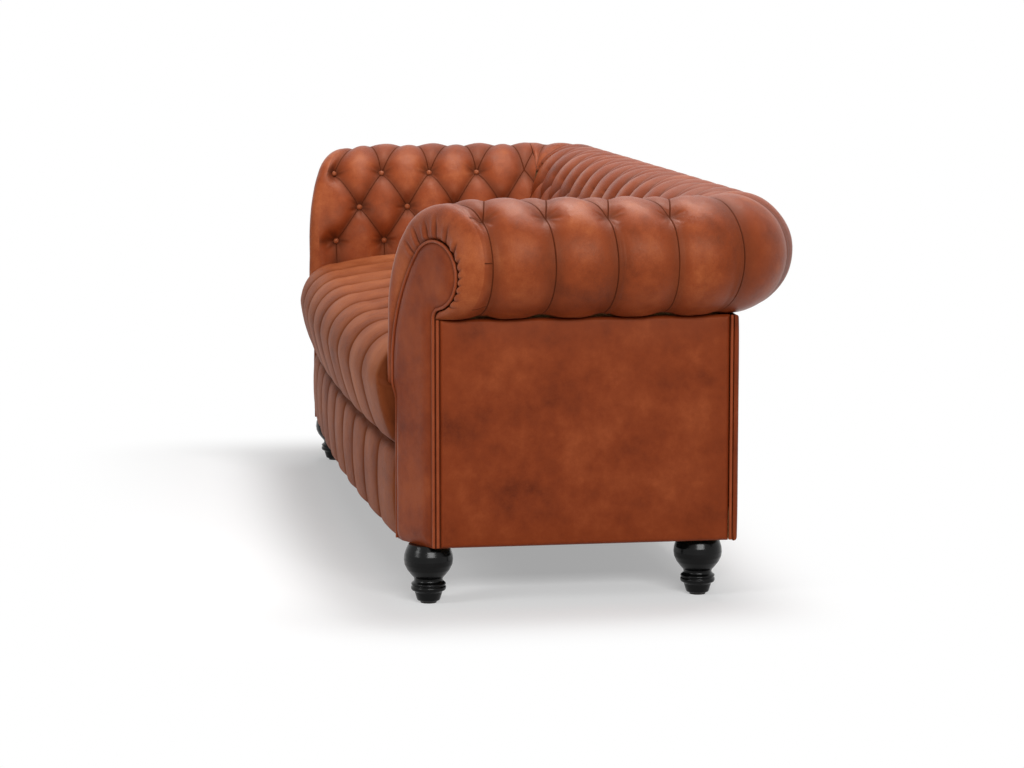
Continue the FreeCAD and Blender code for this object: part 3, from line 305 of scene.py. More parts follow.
class Wire:
    """A shader value that can be used in sums."""

    def __init__(self, graph: "Graph", socket: bpy.types.NodeSocket) -> None:
        """Wraps a socket of a graph."""
        self.graph = graph
        self.socket = socket

    def _sum(self, operation: str, *values: Any) -> "Wire":
        """One Math node.

        Args:
            operation: The node's operation.
            *values: Its inputs, numbers or wires.

        Returns:
            Its value.
        """
        return self.graph.add("ShaderNodeMath", {"operation": operation}, dict(enumerate(values)))

    def __add__(self, other: Any) -> "Wire":
        """Sum."""
        return self._sum("ADD", self, other)

    __radd__ = __add__

    def __sub__(self, other: Any) -> "Wire":
        """Difference."""
        return self._sum("SUBTRACT", self, other)

    def __rsub__(self, other: Any) -> "Wire":
        """Difference, the other way round."""
        return self._sum("SUBTRACT", other, self)

    def __mul__(self, other: Any) -> "Wire":
        """Product."""
        return self._sum("MULTIPLY", self, other)

    __rmul__ = __mul__

    def greater(self, other: Any) -> "Wire":
        """The larger of two values."""
        return self._sum("MAXIMUM", self, other)

    def whole_gap(self) -> "Wire":
        """Distance to the nearest whole number."""
        return self._sum("PINGPONG", self, 0.5)

    def step(self, low: float, high: float, first: float = 0.0, last: float = 1.0) -> "Wire":
        """A smooth step of this value.

        Args:
            low: Where it starts.
            high: Where it ends.
            first: The value before it.
            last: The value after it.

        Returns:
            The stepped value.
        """
        settings = {"interpolation_type": "SMOOTHSTEP"}
        return self.graph.add(
            "ShaderNodeMapRange", settings, {"Value": self, 1: low, 2: high, 3: first, 4: last}
        )


class Graph:
    """The node tree of one material or of the world."""

    def __init__(self, tree: bpy.types.NodeTree) -> None:
        """Clears a tree for use."""
        self.tree = tree
        tree.nodes.clear()

    def node(
        self,
        kind: str,
        settings: dict[str, Any] | None = None,
        values: dict[Any, Any] | None = None,
    ) -> Any:
        """Adds a node.

        Args:
            kind: Its type.
            settings: Its own properties, set first.
            values: Numbers, colours or wires for its inputs, by name or number.

        Returns:
            The node.
        """
        made = self.tree.nodes.new(kind)
        for key, value in (settings or {}).items():
            setattr(made, key, value)
        for key, value in (values or {}).items():
            if isinstance(value, Wire):
                self.tree.links.new(value.socket, made.inputs[key])
            else:
                made.inputs[key].default_value = value
        return made

    def add(
        self,
        kind: str,
        settings: dict[str, Any] | None = None,
        values: dict[Any, Any] | None = None,
        output: str | int = 0,
    ) -> Wire:
        """Adds a node and gives one of its outputs.

        Args:
            kind: Its type.
            settings: Its own properties.
            values: Its inputs.
            output: Name or number of the output.

        Returns:
            That output.
        """
        return Wire(self, self.node(kind, settings, values).outputs[output])

    def place(self) -> Wire:
        """The sofa's own coordinates, in metres."""
        return self.add("ShaderNodeTexCoord", output="Object")

    def mark(self, name: str) -> Wire:
        """A value that a mesh carries on its points."""
        return self.add("ShaderNodeAttribute", {"attribute_name": name}, output="Fac")

    def noise(
        self, size: float, detail: float = 3.0, rough: float = 0.55, where: Wire | None = None
    ) -> Wire:
        """Cloudy noise.

        Args:
            size: Width of a cloud, in millimetres.
            detail: How many finer layers it has.
            rough: How strong these are.
            where: Coordinates, if not the sofa's own.

        Returns:
            Values round 0.5.
        """
        values = {
            "Vector": where or self.place(),
            "Scale": 1.0 / (size * MM),
            "Detail": detail,
            "Roughness": rough,
        }
        return self.add("ShaderNodeTexNoise", None, values)

    def blend(self, share: Wire | float, first: Any, second: Any) -> Wire:
        """A mix of two colours.

        Args:
            share: 0 for the first and 1 for the second.
            first: A colour or wire.
            second: A colour or wire.

        Returns:
            The mixed colour.
        """
        settings = {"data_type": "RGBA", "clamp_factor": True}
        return self.add("ShaderNodeMix", settings, {0: share, 6: first, 7: second}, output=2)

    def bump(self, height: Wire, depth: float) -> Wire:
        """A normal that follows a height.

        Args:
            height: The height, 0 to 1.
            depth: How much 1 is, in millimetres.

        Returns:
            The normal.
        """
        return self.add("ShaderNodeBump", None, {"Strength": 1.0, "Distance": depth * MM, "Height": height})

    def surface(self, values: dict[str, Any]) -> None:
        """Ends the material with a plain surface.

        Args:
            values: Inputs of the Principled shader.
        """
        shader = self.add("ShaderNodeBsdfPrincipled", None, values)
        self.node("ShaderNodeOutputMaterial", None, {"Surface": shader})


def rgb(red: int, green: int, blue: int) -> Colour:
    """A colour as the shaders take it.

    Args:
        red: 0 to 255, as on a screen.
        green: The same.
        blue: The same.

    Returns:
        Linear red, green and blue, and 1.
    """
    shares = [part / 255 for part in (red, green, blue)]
    linear = [share / 12.92 if share < 0.0405 else ((share + 0.055) / 1.055) ** 2.4 for share in shares]
    return (*linear, 1.0)


class Finish:
    """A material that is made once and then shared."""

    name = "finish"

    def paint(self, graph: Graph) -> None:
        """Adds the nodes.

        Args:
            graph: The material's empty node tree.
        """
        raise NotImplementedError

    def material(self) -> bpy.types.Material:
        """The material, made at the first call."""
        title = f"{self.name}_finish"
        made = bpy.data.materials.get(title)
        if made is None:
            made = bpy.data.materials.new(title)
            made.use_nodes = True
            self.paint(Graph(made.node_tree))
        return made


@dataclass(frozen=True)
class Leather(Finish):
    """Waxed, pulled-up leather: cloudy colour, painted shade in the folds and hollows, a painted highlight
    with some wear on padded crowns, and a fine grain.
    """

    name: str = "leather"
    deep: Colour = rgb(74, 24, 7)
    body: Colour = rgb(132, 57, 25)
    # The light colour serves the random tone and the painted highlight on padded crowns.
    light: Colour = rgb(176, 96, 54)
    # The fold colour is painted shade, laid where shade falls in hollows, tuft pits and fold bottoms.
    fold: Colour = rgb(36, 9, 2)
    cloud: float = 130.0
    contrast: float = 0.8
    gloss: float = 0.38
    shine: float = 0.3
    shine_colour: Colour = (1.0, 0.62, 0.44, 1.0)
    pore: float = 1.7
    grain: float = 2.6
    crease: float = 14.0
    weights: tuple[float, float, float] = (1.9, 0.7, 0.35)
    fold_depth: float = 0.9

    def paint(self, graph: Graph) -> None:
        """Adds the nodes.

        Args:
            graph: The material's empty node tree.
        """
        where = graph.place()
        large = graph.noise(self.cloud, 4.0, 0.6, where)
        small = graph.noise(self.cloud / 5.0, 3.0, 0.6, where)
        fine = graph.noise(self.grain, 2.0, 0.6, where)
        clouds, spots, specks = self.weights
        tone = (large - 0.5) * (clouds * self.contrast) + (small - 0.5) * (spots * self.contrast)
        tone = tone + (fine - 0.5) * specks
        # Painted shade mask from the mesh: hollows, tuft pits, pleat and seam bottoms.
        hollow = graph.mark("hollow")
        # Crown mask from the mesh: painted highlight on the full padding, partly wear.
        crown = graph.mark("crown")
        lines = self.shaded_fold_lines(graph)
        colour = graph.blend(tone.step(-0.75, 0.05, 0.0, 1.0), self.deep, self.body)
        # Painted highlight: crowns lean towards the light colour.
        colour = graph.blend((tone + crown * 0.35).step(0.0, 0.85, 0.0, 1.0), colour, self.light)
        # Painted shade: hollows and fold lines take the dark fold colour.
        colour = graph.blend((hollow * 0.85).greater(lines * 0.8), colour, self.fold)
        pores = graph.add(
            "ShaderNodeTexVoronoi",
            {"feature": "DISTANCE_TO_EDGE"},
            {"Vector": where, "Scale": 1.0 / (self.pore * MM), "Randomness": 1.0},
        )
        creases = graph.noise(self.crease, 4.0, 0.62, where)
        height = pores.step(0.0, 0.25) * 0.10 + creases * 0.3 - lines * self.fold_depth
        rough = self.gloss + (small - 0.5) * 0.16 + (fine - 0.5) * 0.10 + hollow * 0.3 + lines * 0.5
        graph.surface(
            {
                "Base Color": colour,
                "Roughness": rough,
                "Specular IOR Level": self.shine,
                "Specular Tint": self.shine_colour,
                "Normal": graph.bump(height, 1.0),
            }
        )

    def shaded_fold_lines(self, graph: Graph) -> Wire:
        """The sharp bottoms of folds, from the marks that a tufted mesh carries: a painted shade line in
        the colour and a dip in the bump.

        Args:
            graph: The material's node tree.

        Returns:
            1 in the bottom of a fold and 0 beside it.
        """
        span = graph.mark("fold_span")
        near = [graph.mark(key).whole_gap() * span for key in ("fold_a", "fold_b")]
        lines = near[0].step(0.3, 1.8, 1.0, 0.0).greater(near[1].step(0.3, 1.8, 1.0, 0.0))
        return lines * graph.mark("fold_strength")


@dataclass(frozen=True)
class Lacquer(Finish):
    """Satin black lacquer on turned wood, a little worn and dusty at its edges."""

    name: str = "black_lacquer"
    colour: Colour = rgb(5, 5, 5)
    worn: Colour = rgb(16, 14, 13)
    pore: float = 2.2
    dust: float = 28.0
    gloss: float = 0.22
    shine: float = 0.18

    def paint(self, graph: Graph) -> None:
        """Adds the nodes.

        Args:
            graph: The material's empty node tree.
        """
        where = graph.place()
        stretch = graph.add("ShaderNodeMapping", None, {"Vector": where, "Scale": (1.0, 1.0, 0.12)})
        pores = graph.noise(self.pore, 3.0, 0.6, stretch)
        dust = graph.noise(self.dust, 3.0, 0.6, where)
        edge = graph.add("ShaderNodeNewGeometry", output="Pointiness").step(0.51, 0.56)
        colour = graph.blend(edge * 0.5 + (dust - 0.5) * 0.4, self.colour, self.worn)
        graph.surface(
            {
                "Base Color": colour,
                "Roughness": self.gloss + (dust - 0.5) * 0.16,
                "Specular IOR Level": self.shine,
                "Normal": graph.bump(pores, 0.06),
            }
        )


@dataclass(frozen=True)
class Timber(Finish):
    """Planed wood with growth rings along X."""

    name: str = "hardwood"
    early: Colour = rgb(206, 168, 118)
    late: Colour = rgb(164, 118, 72)
    ring: float = 5.0
    gloss: float = 0.62

    def paint(self, graph: Graph) -> None:
        """Adds the nodes.

        Args:
            graph: The material's empty node tree.
        """
        where = graph.place()
        drawn = graph.add("ShaderNodeMapping", None, {"Vector": where, "Scale": (0.08, 1.0, 1.0)})
        waves = graph.noise(self.ring * 4.0, 4.0, 0.6, drawn)
        rings = (waves * 9.0).whole_gap() * 2.0
        fleck = graph.noise(1.5, 2.0, 0.5, drawn)
        colour = graph.blend(rings * 0.7 + (fleck - 0.5) * 0.6, self.early, self.late)
        rough = self.gloss + (fleck - 0.5) * 0.2
        graph.surface({"Base Color": colour, "Roughness": rough, "Normal": graph.bump(fleck, 0.15)})


@dataclass(frozen=True)
class Metal(Finish):
    """Plated or oiled steel."""

    name: str = "plated_steel"
    colour: Colour = rgb(176, 174, 168)
    shade: Colour = rgb(120, 112, 100)
    gloss: float = 0.32

    def paint(self, graph: Graph) -> None:
        """Adds the nodes.

        Args:
            graph: The material's empty node tree.
        """
        haze = graph.noise(9.0, 3.0, 0.6)
        colour = graph.blend(haze.step(0.35, 0.7), self.colour, self.shade)
        graph.surface(
            {
                "Base Color": colour,
                "Metallic": 1.0,
                "Roughness": self.gloss + (haze - 0.5) * 0.25,
                "Normal": graph.bump(haze, 0.03),
            }
        )


@dataclass(frozen=True)
class Fibre(Finish):
    """Foam, felt or woven cloth that is matt and slightly uneven."""

    name: str = "foam"
    colour: Colour = rgb(226, 210, 168)
    shade: Colour = rgb(188, 166, 118)
    cell: float = 2.5
    weave: float = 0.0

    def paint(self, graph: Graph) -> None:
        """Adds the nodes.

        Args:
            graph: The material's empty node tree.
        """
        where = graph.place()
        cells = graph.add("ShaderNodeTexVoronoi", None, {"Vector": where, "Scale": 1.0 / (self.cell * MM)})
        cloud = graph.noise(60.0, 3.0, 0.6, where)
        height = cells
        if self.weave:
            bands = {"bands_direction": "DIAGONAL"}
            values = {"Vector": where, "Scale": 160.0 / self.weave}
            height = graph.add("ShaderNodeTexWave", bands, values, 1) + cells * 0.3
        colour = graph.blend(height * 0.5 + (cloud - 0.5), self.colour, self.shade)
        rough = 0.9 + (cloud - 0.5) * 0.1
        graph.surface({"Base Color": colour, "Roughness": rough, "Normal": graph.bump(height, 0.4)})


class Hide(Enum):
    """The leathers of the sofa, by the slot that they fill."""

    # Each fold colour below is that leather's painted shade; each light colour also gives its painted
    # highlight on crowns.
    TUFTED = Leather("tufted_leather")
    SEAT = Leather(
        "seat_leather",
        deep=rgb(72, 26, 10),
        body=rgb(132, 66, 35),
        light=rgb(174, 104, 68),
        fold=rgb(38, 11, 3),
        cloud=140.0,
        contrast=0.6,
        gloss=0.5,
        shine=0.05,
    )
    PANEL = Leather(
        "panel_leather",
        deep=rgb(84, 28, 8),
        body=rgb(120, 49, 20),
        light=rgb(146, 70, 36),
        contrast=1.1,
        gloss=0.42,
        shine=0.2,
    )
    PIPING = Leather(
        "piping_leather",
        deep=rgb(98, 36, 16),
        body=rgb(136, 62, 32),
        light=rgb(164, 88, 54),
        fold=rgb(48, 14, 4),
        cloud=60.0,
        gloss=0.36,
    )
    BUTTON = Leather(
        "button_leather",
        deep=rgb(100, 42, 20),
        body=rgb(136, 68, 38),
        light=rgb(166, 98, 66),
        fold=rgb(60, 20, 8),
        cloud=20.0,
        contrast=0.6,
        gloss=0.33,
    )


# ---------------------------------------------------------------- the scroll and its tufts


@dataclass(frozen=True)
class ScrollSection:
    """Section through the inside face and the scroll above it, from the seat up and over to the outside.

    Offsets run outwards from the scroll's centre line.
    """

    radius: float = 110.0
    inside: float = 145.0
    lean_start: float = 540.0
    centre_z: float = 650.0
    foot: float = 440.0

    @property
    def lean(self) -> float:
        """Radius of the leaning part of the inside face."""
        rise = self.centre_z - self.lean_start
        return (self.inside**2 + rise**2 - self.radius**2) / (2.0 * (self.inside - self.radius))

    @property
    def meet(self) -> float:
        """Angle at which the leaning part runs into the scroll."""
        return math.atan2(self.centre_z - self.lean_start, self.inside - self.lean)

    def length(self, end_degrees: float) -> float:
        """Length of the section down to an angle under the scroll.

        Args:
            end_degrees: The angle, from 90 at the crest to less than 0 under the scroll.

        Returns:
            The length, from the seat up and over.
        """
        upright = self.lean_start - self.foot
        leaning = self.lean * (math.pi - self.meet)
        return upright + leaning + self.radius * (self.meet - math.radians(end_degrees))

    def rise_at(self, height: float) -> float:
        """Place along the section of a height on the inside face.

        Args:
            height: The height above the floor.

        Returns:
            Its place.
        """
        if height <= self.lean_start:
            return height - self.foot
        return self.lean_start - self.foot + self.lean * math.asin((height - self.lean_start) / self.lean)

    def rise_on_roll(self, degrees: float) -> float:
        """Place along the section of an angle on the scroll."""
        return self.length(degrees)

    def at(self, rise: Array) -> tuple[Array, Array, Array]:
        """Points of the section.

        Args:
            rise: Places along it.

        Returns:
            Offset, height and the direction that the surface faces, as an angle.
        """
        upright = self.lean_start - self.foot
        leaning = self.lean * (math.pi - self.meet)
        lean_turn = math.pi - np.clip(rise - upright, 0.0, leaning) / self.lean
        roll_turn = self.meet - np.maximum(rise - upright - leaning, 0.0) / self.radius
        on_roll = rise > upright + leaning
        turn = np.where(on_roll, roll_turn, lean_turn)
        lean_x = self.lean - self.inside + self.lean * np.cos(lean_turn)
        offset = np.where(on_roll, self.radius * np.cos(roll_turn), lean_x)
        lean_z = self.lean_start + self.lean * np.sin(lean_turn) + np.minimum(rise - upright, 0.0)
        height = np.where(on_roll, self.centre_z + self.radius * np.sin(roll_turn), lean_z)
        return offset, height, turn


@dataclass
class Folds:
    """The two families of folds that cross on a tufted cover.

    Each family is a count that is whole in the bottom of a fold. Full is 0 in a fold and 1 away from it,
    and strength tells how sharp the folds are.
    """

    first: Array
    second: Array
    full: Array
    strength: Array


@dataclass(frozen=True)
class TuftPattern:
    """Diamond tufts on the inside and over the crest, and straight pleats down the outside.

    A surface place has a run, along the sofa, and a rise, along the section.
    """

    section: ScrollSection
    pitch: float
    puff_inside: float
    puff_outside: float
    row_heights: tuple[float, float, float] = (538.0, 622.0, 705.0)
    outer_degrees: float = 52.0
    outer_row: float = 100.0
    crown: float = 2.0
    pit: float = 13.0
    pit_radius: float = 22.0
    crease: float = 0.07
    crease_span: float = 100.0
    open_reach: float = 45.0
    open_fade: tuple[float, float] = (-0.62, -0.3)
    lip: float = 3.6
    lip_place: float = 6.0
    dent: float = 4.0
    dent_place: float = 14.0
    wrinkle: float = 0.8
    wrinkle_place: float = 18.0
    wrinkle_width: float = 9.0
    wrinkle_seed: int = 5
    sag: float = 0.5
    sag_wave: float = 70.0
    sag_seed: int = 11

    @property
    def rows(self) -> list[float]:
        """Places of the four rows along the section."""
        inside = [self.section.rise_at(z) for z in self.row_heights]
        return inside + [self.section.rise_on_roll(self.outer_degrees)]

    def level(self, rise: Array) -> Array:
        """The rise counted in rows.

        Args:
            rise: Places along the section.

        Returns:
            0, 1 and 2 at the rows inside, 3 at the outer one, and less or more beyond them.
        """
        rows = self.rows
        level = np.interp(rise, rows, [0.0, 1.0, 2.0, 3.0])
        level = level + np.minimum(rise - rows[0], 0.0) / (rows[1] - rows[0])
        return level + np.maximum(rise - rows[3], 0.0) / self.outer_row

    def full(self, gap: Array, power: float = 3.2) -> Array:
        """How full the padding is, from 0 in a fold to 1 away from it.

        Args:
            gap: Distance to the fold, where 1 is the middle of a diamond.
            power: A larger one makes a flatter middle.

        Returns:
            The fullness.
        """
        gap = np.clip(np.sqrt(gap**2 + self.crease**2) - self.crease, 0.0, 1.0)
        return 1.0 - (1.0 - gap) ** power

    def folds(self, count: Array, level: Array) -> Folds:
        """The crossing folds.

        Args:
            count: Place along the sofa in pitches.
            level: Place along the section in rows.

        Returns:
            Diamonds between rows 0 and 3, with straight pleats on both sides of them.
        """
        crossed = np.clip(level, 0.0, 3.0)
        first, second = count + crossed / 2.0, count - crossed / 2.0
        full = self.full(2.0 * to_whole(first)) * self.full(2.0 * to_whole(second))
        return Folds(first, second, full, np.ones_like(full))

    def opened(self, folds: Folds, count: Array, level: Array, rise: Array, open_end: float) -> Folds:
        """The folds with a strip before the first tufts, where pleats run straight to the arm's front.

        Args:
            folds: The crossing folds.
            count: Place along the sofa in pitches.
            level: Place along the section in rows.
            rise: Place along the section, in millimetres.
            open_end: Count before which there are no diamonds.

        Returns:
            The changed folds.
        """
        rows = self.rows
        crossed = np.clip(level, 0.0, 3.0)
        edge = open_end + np.interp(crossed, [0.0, 1.0, 2.0, 3.0], [0.0, 0.5, 0.0, 0.5])
        beyond = count - edge
        in_strip = beyond < 0.0
        to_row = np.min([np.abs(rise - rows[k]) / self.open_reach for k in (0, 2, 3)], axis=0)
        plain = self.full(np.clip(-2.0 * beyond, 0.0, 1.0)) * self.full(np.clip(to_row, 0.0, 1.0))
        between = (level > 1.0) & (level < 2.0)
        past = np.maximum(-level, 0.0) + np.maximum(level - 3.0, 0.0)
        held_first = edge + crossed / 2.0 + np.where(between, beyond, past)
        held_second = edge - crossed / 2.0 + np.where(between, 0.0, beyond)
        straight = (level < 0.0) | (level > 3.0)
        kept = np.where(straight, 1.0, ease(0.05, 0.15, np.abs(level - 1.0)))
        return Folds(
            np.where(in_strip, held_first, folds.first),
            np.where(in_strip, held_second, folds.second),
            np.where(in_strip, plain, folds.full),
            folds.strength * np.where(beyond < -0.03, kept, 1.0) * ease(*self.open_fade, beyond),
        )

    def lips(self, count: Array, level: Array) -> Array:
        """The lip beside each straight pleat, where the leather is folded over.

        Args:
            count: Place along the sofa in pitches.
            level: Place along the section in rows.

        Returns:
            How far it stands out.
        """
        pleat = np.round(count - 0.5)
        aside = (count - 0.5 - pleat) * self.pitch
        lip = bell(aside, self.lip, self.lip_place) - 0.6 * bell(aside, self.dent, self.dent_place)
        return lip * (0.9 + 0.8 * np.cos(2.4 * pleat + 1.0)) * ease(3.1, 3.6, level)

    def pulled_in(
        self,
        depth: Array,
        hollow: Array,
        run: Array,
        rise: Array,
        sites: Sites,
    ) -> tuple[Array, Array]:
        """Pulls the surface in at the tufts, with short wrinkles round them and painted shade in their
        pits.

        Args:
            depth: Depth of the surface without them.
            hollow: Its hollow mark without them.
            run: Place along the sofa, in millimetres.
            rise: Place along the section, in millimetres.
            sites: Run, rise and strength of each tuft.

        Returns:
            The depth and the hollow mark with them.
        """
        chance = np.random.default_rng(self.wrinkle_seed)
        for place, height, weight in sites:
            aside, up = run - place, rise - height
            far = np.hypot(aside, up)
            near = far < 4.0 * self.pit_radius
            turn = np.arctan2(up, aside)
            first, second = chance.uniform(0.0, 2.0 * math.pi, 2)
            rays = np.cos(7.0 * turn + first) + 0.7 * np.cos(12.0 * turn + second)
            wrinkle = weight * self.wrinkle * rays * bell(far, self.wrinkle_width, self.wrinkle_place)
            pit = weight * self.pit * np.exp(-((far / self.pit_radius) ** 1.7))
            depth = depth - np.where(near, pit, 0.0) + np.where(near, wrinkle, 0.0)
            # Painted shade spreads round each pit, ragged along the wrinkles.
            reach = self.pit_radius * (0.95 + 0.12 * rays)
            hollow = np.maximum(hollow, weight * bell(far, reach) * near)
        return depth, hollow

    def relief(
        self,
        count: Array,
        level: Array,
        run: Array,
        rise: Array,
        sites: Sites,
        open_end: float | None = None,
    ) -> dict[str, Array]:
        """Depth of the surface and the marks that its leather reads.

        Args:
            count: Place along the sofa in pitches.
            level: Place along the section in rows, from 0 to 3 where folds cross.
            run: Place along the sofa, in millimetres.
            rise: Place along the section, in millimetres.
            sites: Run, rise and strength of each tuft.
            open_end: Count before which there are no diamonds, or None.

        Returns:
            The depth under "depth", and the marks.
        """
        folds = self.folds(count, level)
        if open_end is not None:
            folds = self.opened(folds, count, level, rise, open_end)
        full = folds.full
        outside = ease(2.0, 2.8, level)
        puff = self.puff_inside + (self.puff_outside - self.puff_inside) * outside
        depth = self.crown - puff * (1.0 - full) + self.lips(count, level)
        # Painted shade in the folds between the puffs, a little weaker outside.
        hollow = 0.6 * (1.0 - full) ** 2 * (1.0 - 0.3 * outside)
        depth, hollow = self.pulled_in(depth, hollow, run, rise, sites)
        return {
            "depth": depth + self.sag * unevenness(run, rise, self.sag_wave, self.sag_seed) * full,
            "fold_a": folds.first,
            "fold_b": folds.second,
            "fold_strength": folds.strength * (1.0 - ease(0.3, 1.0, -level)),
            "fold_span": np.full(full.shape, self.crease_span),
            "hollow": np.clip(hollow, 0.0, 1.0),
            # Crown: painted highlight on the full padding, partly wear.
            "crown": np.clip(full - 0.5, 0.0, 1.0),
        }


@dataclass(frozen=True)
class FacingPlane:
    """The turned plane that the arm fronts lie in."""

    inner_x: float = 770.0
    front: float = 367.0
    turn: float = 27.0

    def y(self, x: Array | float, depth: Array | float = 0.0) -> Array:
        """Y of the plane.

        Args:
            x: Places along the sofa.
            depth: How far behind the plane, square to it.

        Returns:
            Y at each place.
        """
        turn = math.radians(self.turn)
        return -self.front + (np.asarray(x, float) - self.inner_x) * math.tan(turn) + depth / math.cos(turn)


@dataclass
class Covers:
    """The tufted covers of the arms and back, with their buttons."""

    section: ScrollSection = field(default_factory=ScrollSection)
    plane: FacingPlane = field(default_factory=FacingPlane)
    roll_x: float = 915.0
    roll_y: float = 295.0
    bend: float = 100.0
    arm_end: float = -84.8
    back_end: float = -94.2
    band: float = 28.0
    arm_pitch: float = 115.0
    back_pitch: float = 118.0
    first_arm: float = -293.0
    outer_shift: float = 30.5
    arm_end_count: float = 3.978
    back_end_count: float = 6.079
    bow: float = 12.0
    bow_rows: float = 2.4
    bow_fade: tuple[float, float] = (130.0, 195.0)
    drawn: float = 4.0
    drawn_scroll: float = 10.0
    drawn_reach: tuple[float, float] = (-20.0, 75.0)
    front_fade: float = 22.0
    tuck: float = 10.0
    tuck_reach: float = 20.0
    arm_tufts: int = 4
    back_tufts: int = 6
    outer_weight: float = 0.75
    arm_puffs: tuple[float, float] = (9.0, 7.5)
    back_puffs: tuple[float, float] = (12.0, 8.0)
    arm_button_depth: float = 19.0
    back_button_depth: float = 21.5
    button: tuple[tuple[float, float], ...] = (
        (0.0, 3.2), (2.7, 2.9), (4.9, 2.0), (6.3, 0.5), (6.8, -1.1), (6.2, -2.6), (3.6, -3.2),
    )
    cell: float = 2.9
    arm_length: float = 500.0
    back_length: float = 2100.0

    def __post_init__(self) -> None:
        """Sets up the two patterns."""
        self.arm = TuftPattern(self.section, self.arm_pitch, *self.arm_puffs)
        self.back = TuftPattern(self.section, self.back_pitch, *self.back_puffs)
        self.rows = int(self.section.length(self.arm_end) / self.cell)

    def arm_sites(self) -> Sites:
        """Run, rise and strength of each tuft of an arm."""
        rows = self.arm.rows
        first = [self.first_arm + self.arm_pitch * k for k in range(self.arm_tufts)]
        second = [y + self.arm_pitch / 2.0 for y in first]
        outer = [y + self.outer_shift for y in second]
        sites = [(y, rows[k], 1.0) for k in (0, 2) for y in first]
        sites += [(y, rows[1], 1.0) for y in second]
        return sites + [(y, rows[3], self.outer_weight) for y in outer]

    def back_sites(self) -> Sites:
        """Run, rise and strength of each tuft of the back."""
        rows = self.back.rows
        last = self.back_tufts
        whole = [self.back_pitch * k for k in range(-last, last + 1)]
        half = [self.back_pitch * (k + 0.5) for k in range(-last, last)]
        sites = [(x, rows[k], 1.0) for k in (0, 2) for x in whole]
        sites += [(x, rows[1], 1.0) for x in half]
        return sites + [(x, rows[3], self.outer_weight) for x in half]

    def tucked(self, offset: Array) -> Array:
        """How far a cover's edge runs into the other cover, low in the inside corners."""
        return self.tuck * np.clip((-self.bend - offset) / self.tuck_reach, 0.0, 1.0)

    def arm_surface(self) -> Sheet:
        """The cover of the arm on the positive side."""
        share = np.linspace(0.0, 1.0, self.rows)
        rise = share * self.section.length(self.arm_end)
        offset, height, turn = self.section.at(rise)
        start = self.plane.y(self.roll_x + offset + self.front_depth(rise, 0.0) * np.cos(turn), self.band)
        end = np.minimum(self.roll_y - self.bend, self.roll_y + offset + self.tucked(offset))
        columns = int(self.arm_length / self.cell)
        run = start[:, None] + (end - start)[:, None] * np.linspace(0.0, 1.0, columns)
        rise = np.broadcast_to(rise[:, None], run.shape)
        level = self.arm.level(rise)
        shear = self.outer_shift / self.arm_pitch * np.clip(level - 2.0, 0.0, 1.0)
        bowed = self.bow * np.sin(math.pi * np.clip((level - 3.0) / self.bow_rows, 0.0, 1.0))
        bowed = bowed * (1.0 - ease(*self.bow_fade, run))
        count = (run - self.first_arm - bowed) / self.arm_pitch - shear
        marks = self.arm.relief(count, level, run, rise, self.arm_sites(), 0.0)
        from_front = run - start[:, None]
        near_front = ease(0.0, self.front_fade, from_front)
        depth = self.front_depth(rise, from_front) + (marks.pop("depth") - self.arm.crown) * near_front
        x = self.roll_x + offset[:, None] + depth * np.cos(turn)[:, None]
        z = height[:, None] + depth * np.sin(turn)[:, None]
        return Sheet(points_at(x, run, z), marks)

    def front_depth(self, rise: Array, from_front: Array | float) -> Array:
        """How the scroll's end is drawn in towards the arm's front.

        Args:
            rise: Place along the section.
            from_front: Distance behind the pleated band.

        Returns:
            How far the surface stands out there.
        """
        level = self.arm.level(rise)
        on_scroll = self.drawn_scroll * ease(1.6, 2.6, level) * (1.0 - 0.4 * ease(3.2, 4.2, level))
        drawn = (self.drawn + on_scroll) * (1.0 - ease(4.0, 5.3, level))
        return self.arm.crown - drawn * (1.0 - ease(*self.drawn_reach, from_front)) ** 1.5

    def back_surface(self) -> Sheet:
        """The cover of the back, with both rear corners."""
        share = np.linspace(0.0, 1.0, self.rows)
        ends = [self.section.length(self.arm_end), self.section.length(self.back_end)]
        offset = self.section.at(share * ends[0])[0]
        straight = np.minimum(self.roll_x - self.bend, self.roll_x + offset + self.tucked(offset))
        radius = np.maximum(self.bend + offset, 0.0)
        half = straight + radius * math.pi / 2.0
        columns = int(self.back_length / self.cell)
        run = half[:, None] * np.linspace(-1.0, 1.0, columns)
        side = np.sign(run + 1e-9)
        over = np.maximum(np.abs(run) - straight[:, None], 0.0)
        angle = np.where(radius[:, None] > 1e-6, over / np.maximum(radius[:, None], 1e-6), 0.0)
        long = ends[1] + (ends[0] - ends[1]) * ease(0.0, math.pi / 2.0, angle)
        rise = share[:, None] * long
        offset, height, turn = self.section.at(rise)
        level = self.back.level(rise)
        turned = ease(0.0, 0.35, angle) * (1.0 - ease(math.pi / 2.0 - 0.2, math.pi / 2.0, angle))
        level = np.where(level < 3.0, level + (3.0 - level) * turned, level)
        count = self.corner_count(np.abs(run), angle) * side
        marks = self.back.relief(count, level, run, rise, self.back_sites())
        roomy = ease(2.0, 60.0, self.bend + offset) + (1.0 - ease(0.0, 0.02, angle))
        depth = marks.pop("depth") * np.clip(roomy, 0.0, 1.0)
        depth = depth * (1.0 - 0.4 * ease(0.2, math.pi / 2.0, angle))
        spread = np.minimum(np.abs(run), straight[:, None])
        reach = self.bend + offset + depth * np.cos(turn)
        x = np.where(angle > 0.0, self.roll_x - self.bend + reach * np.sin(angle), spread)
        y = self.roll_y - self.bend + np.where(angle > 0.0, reach * np.cos(angle), reach)
        z = height + depth * np.sin(turn)
        return Sheet(points_at(x * side, y, z), marks, flip=True)

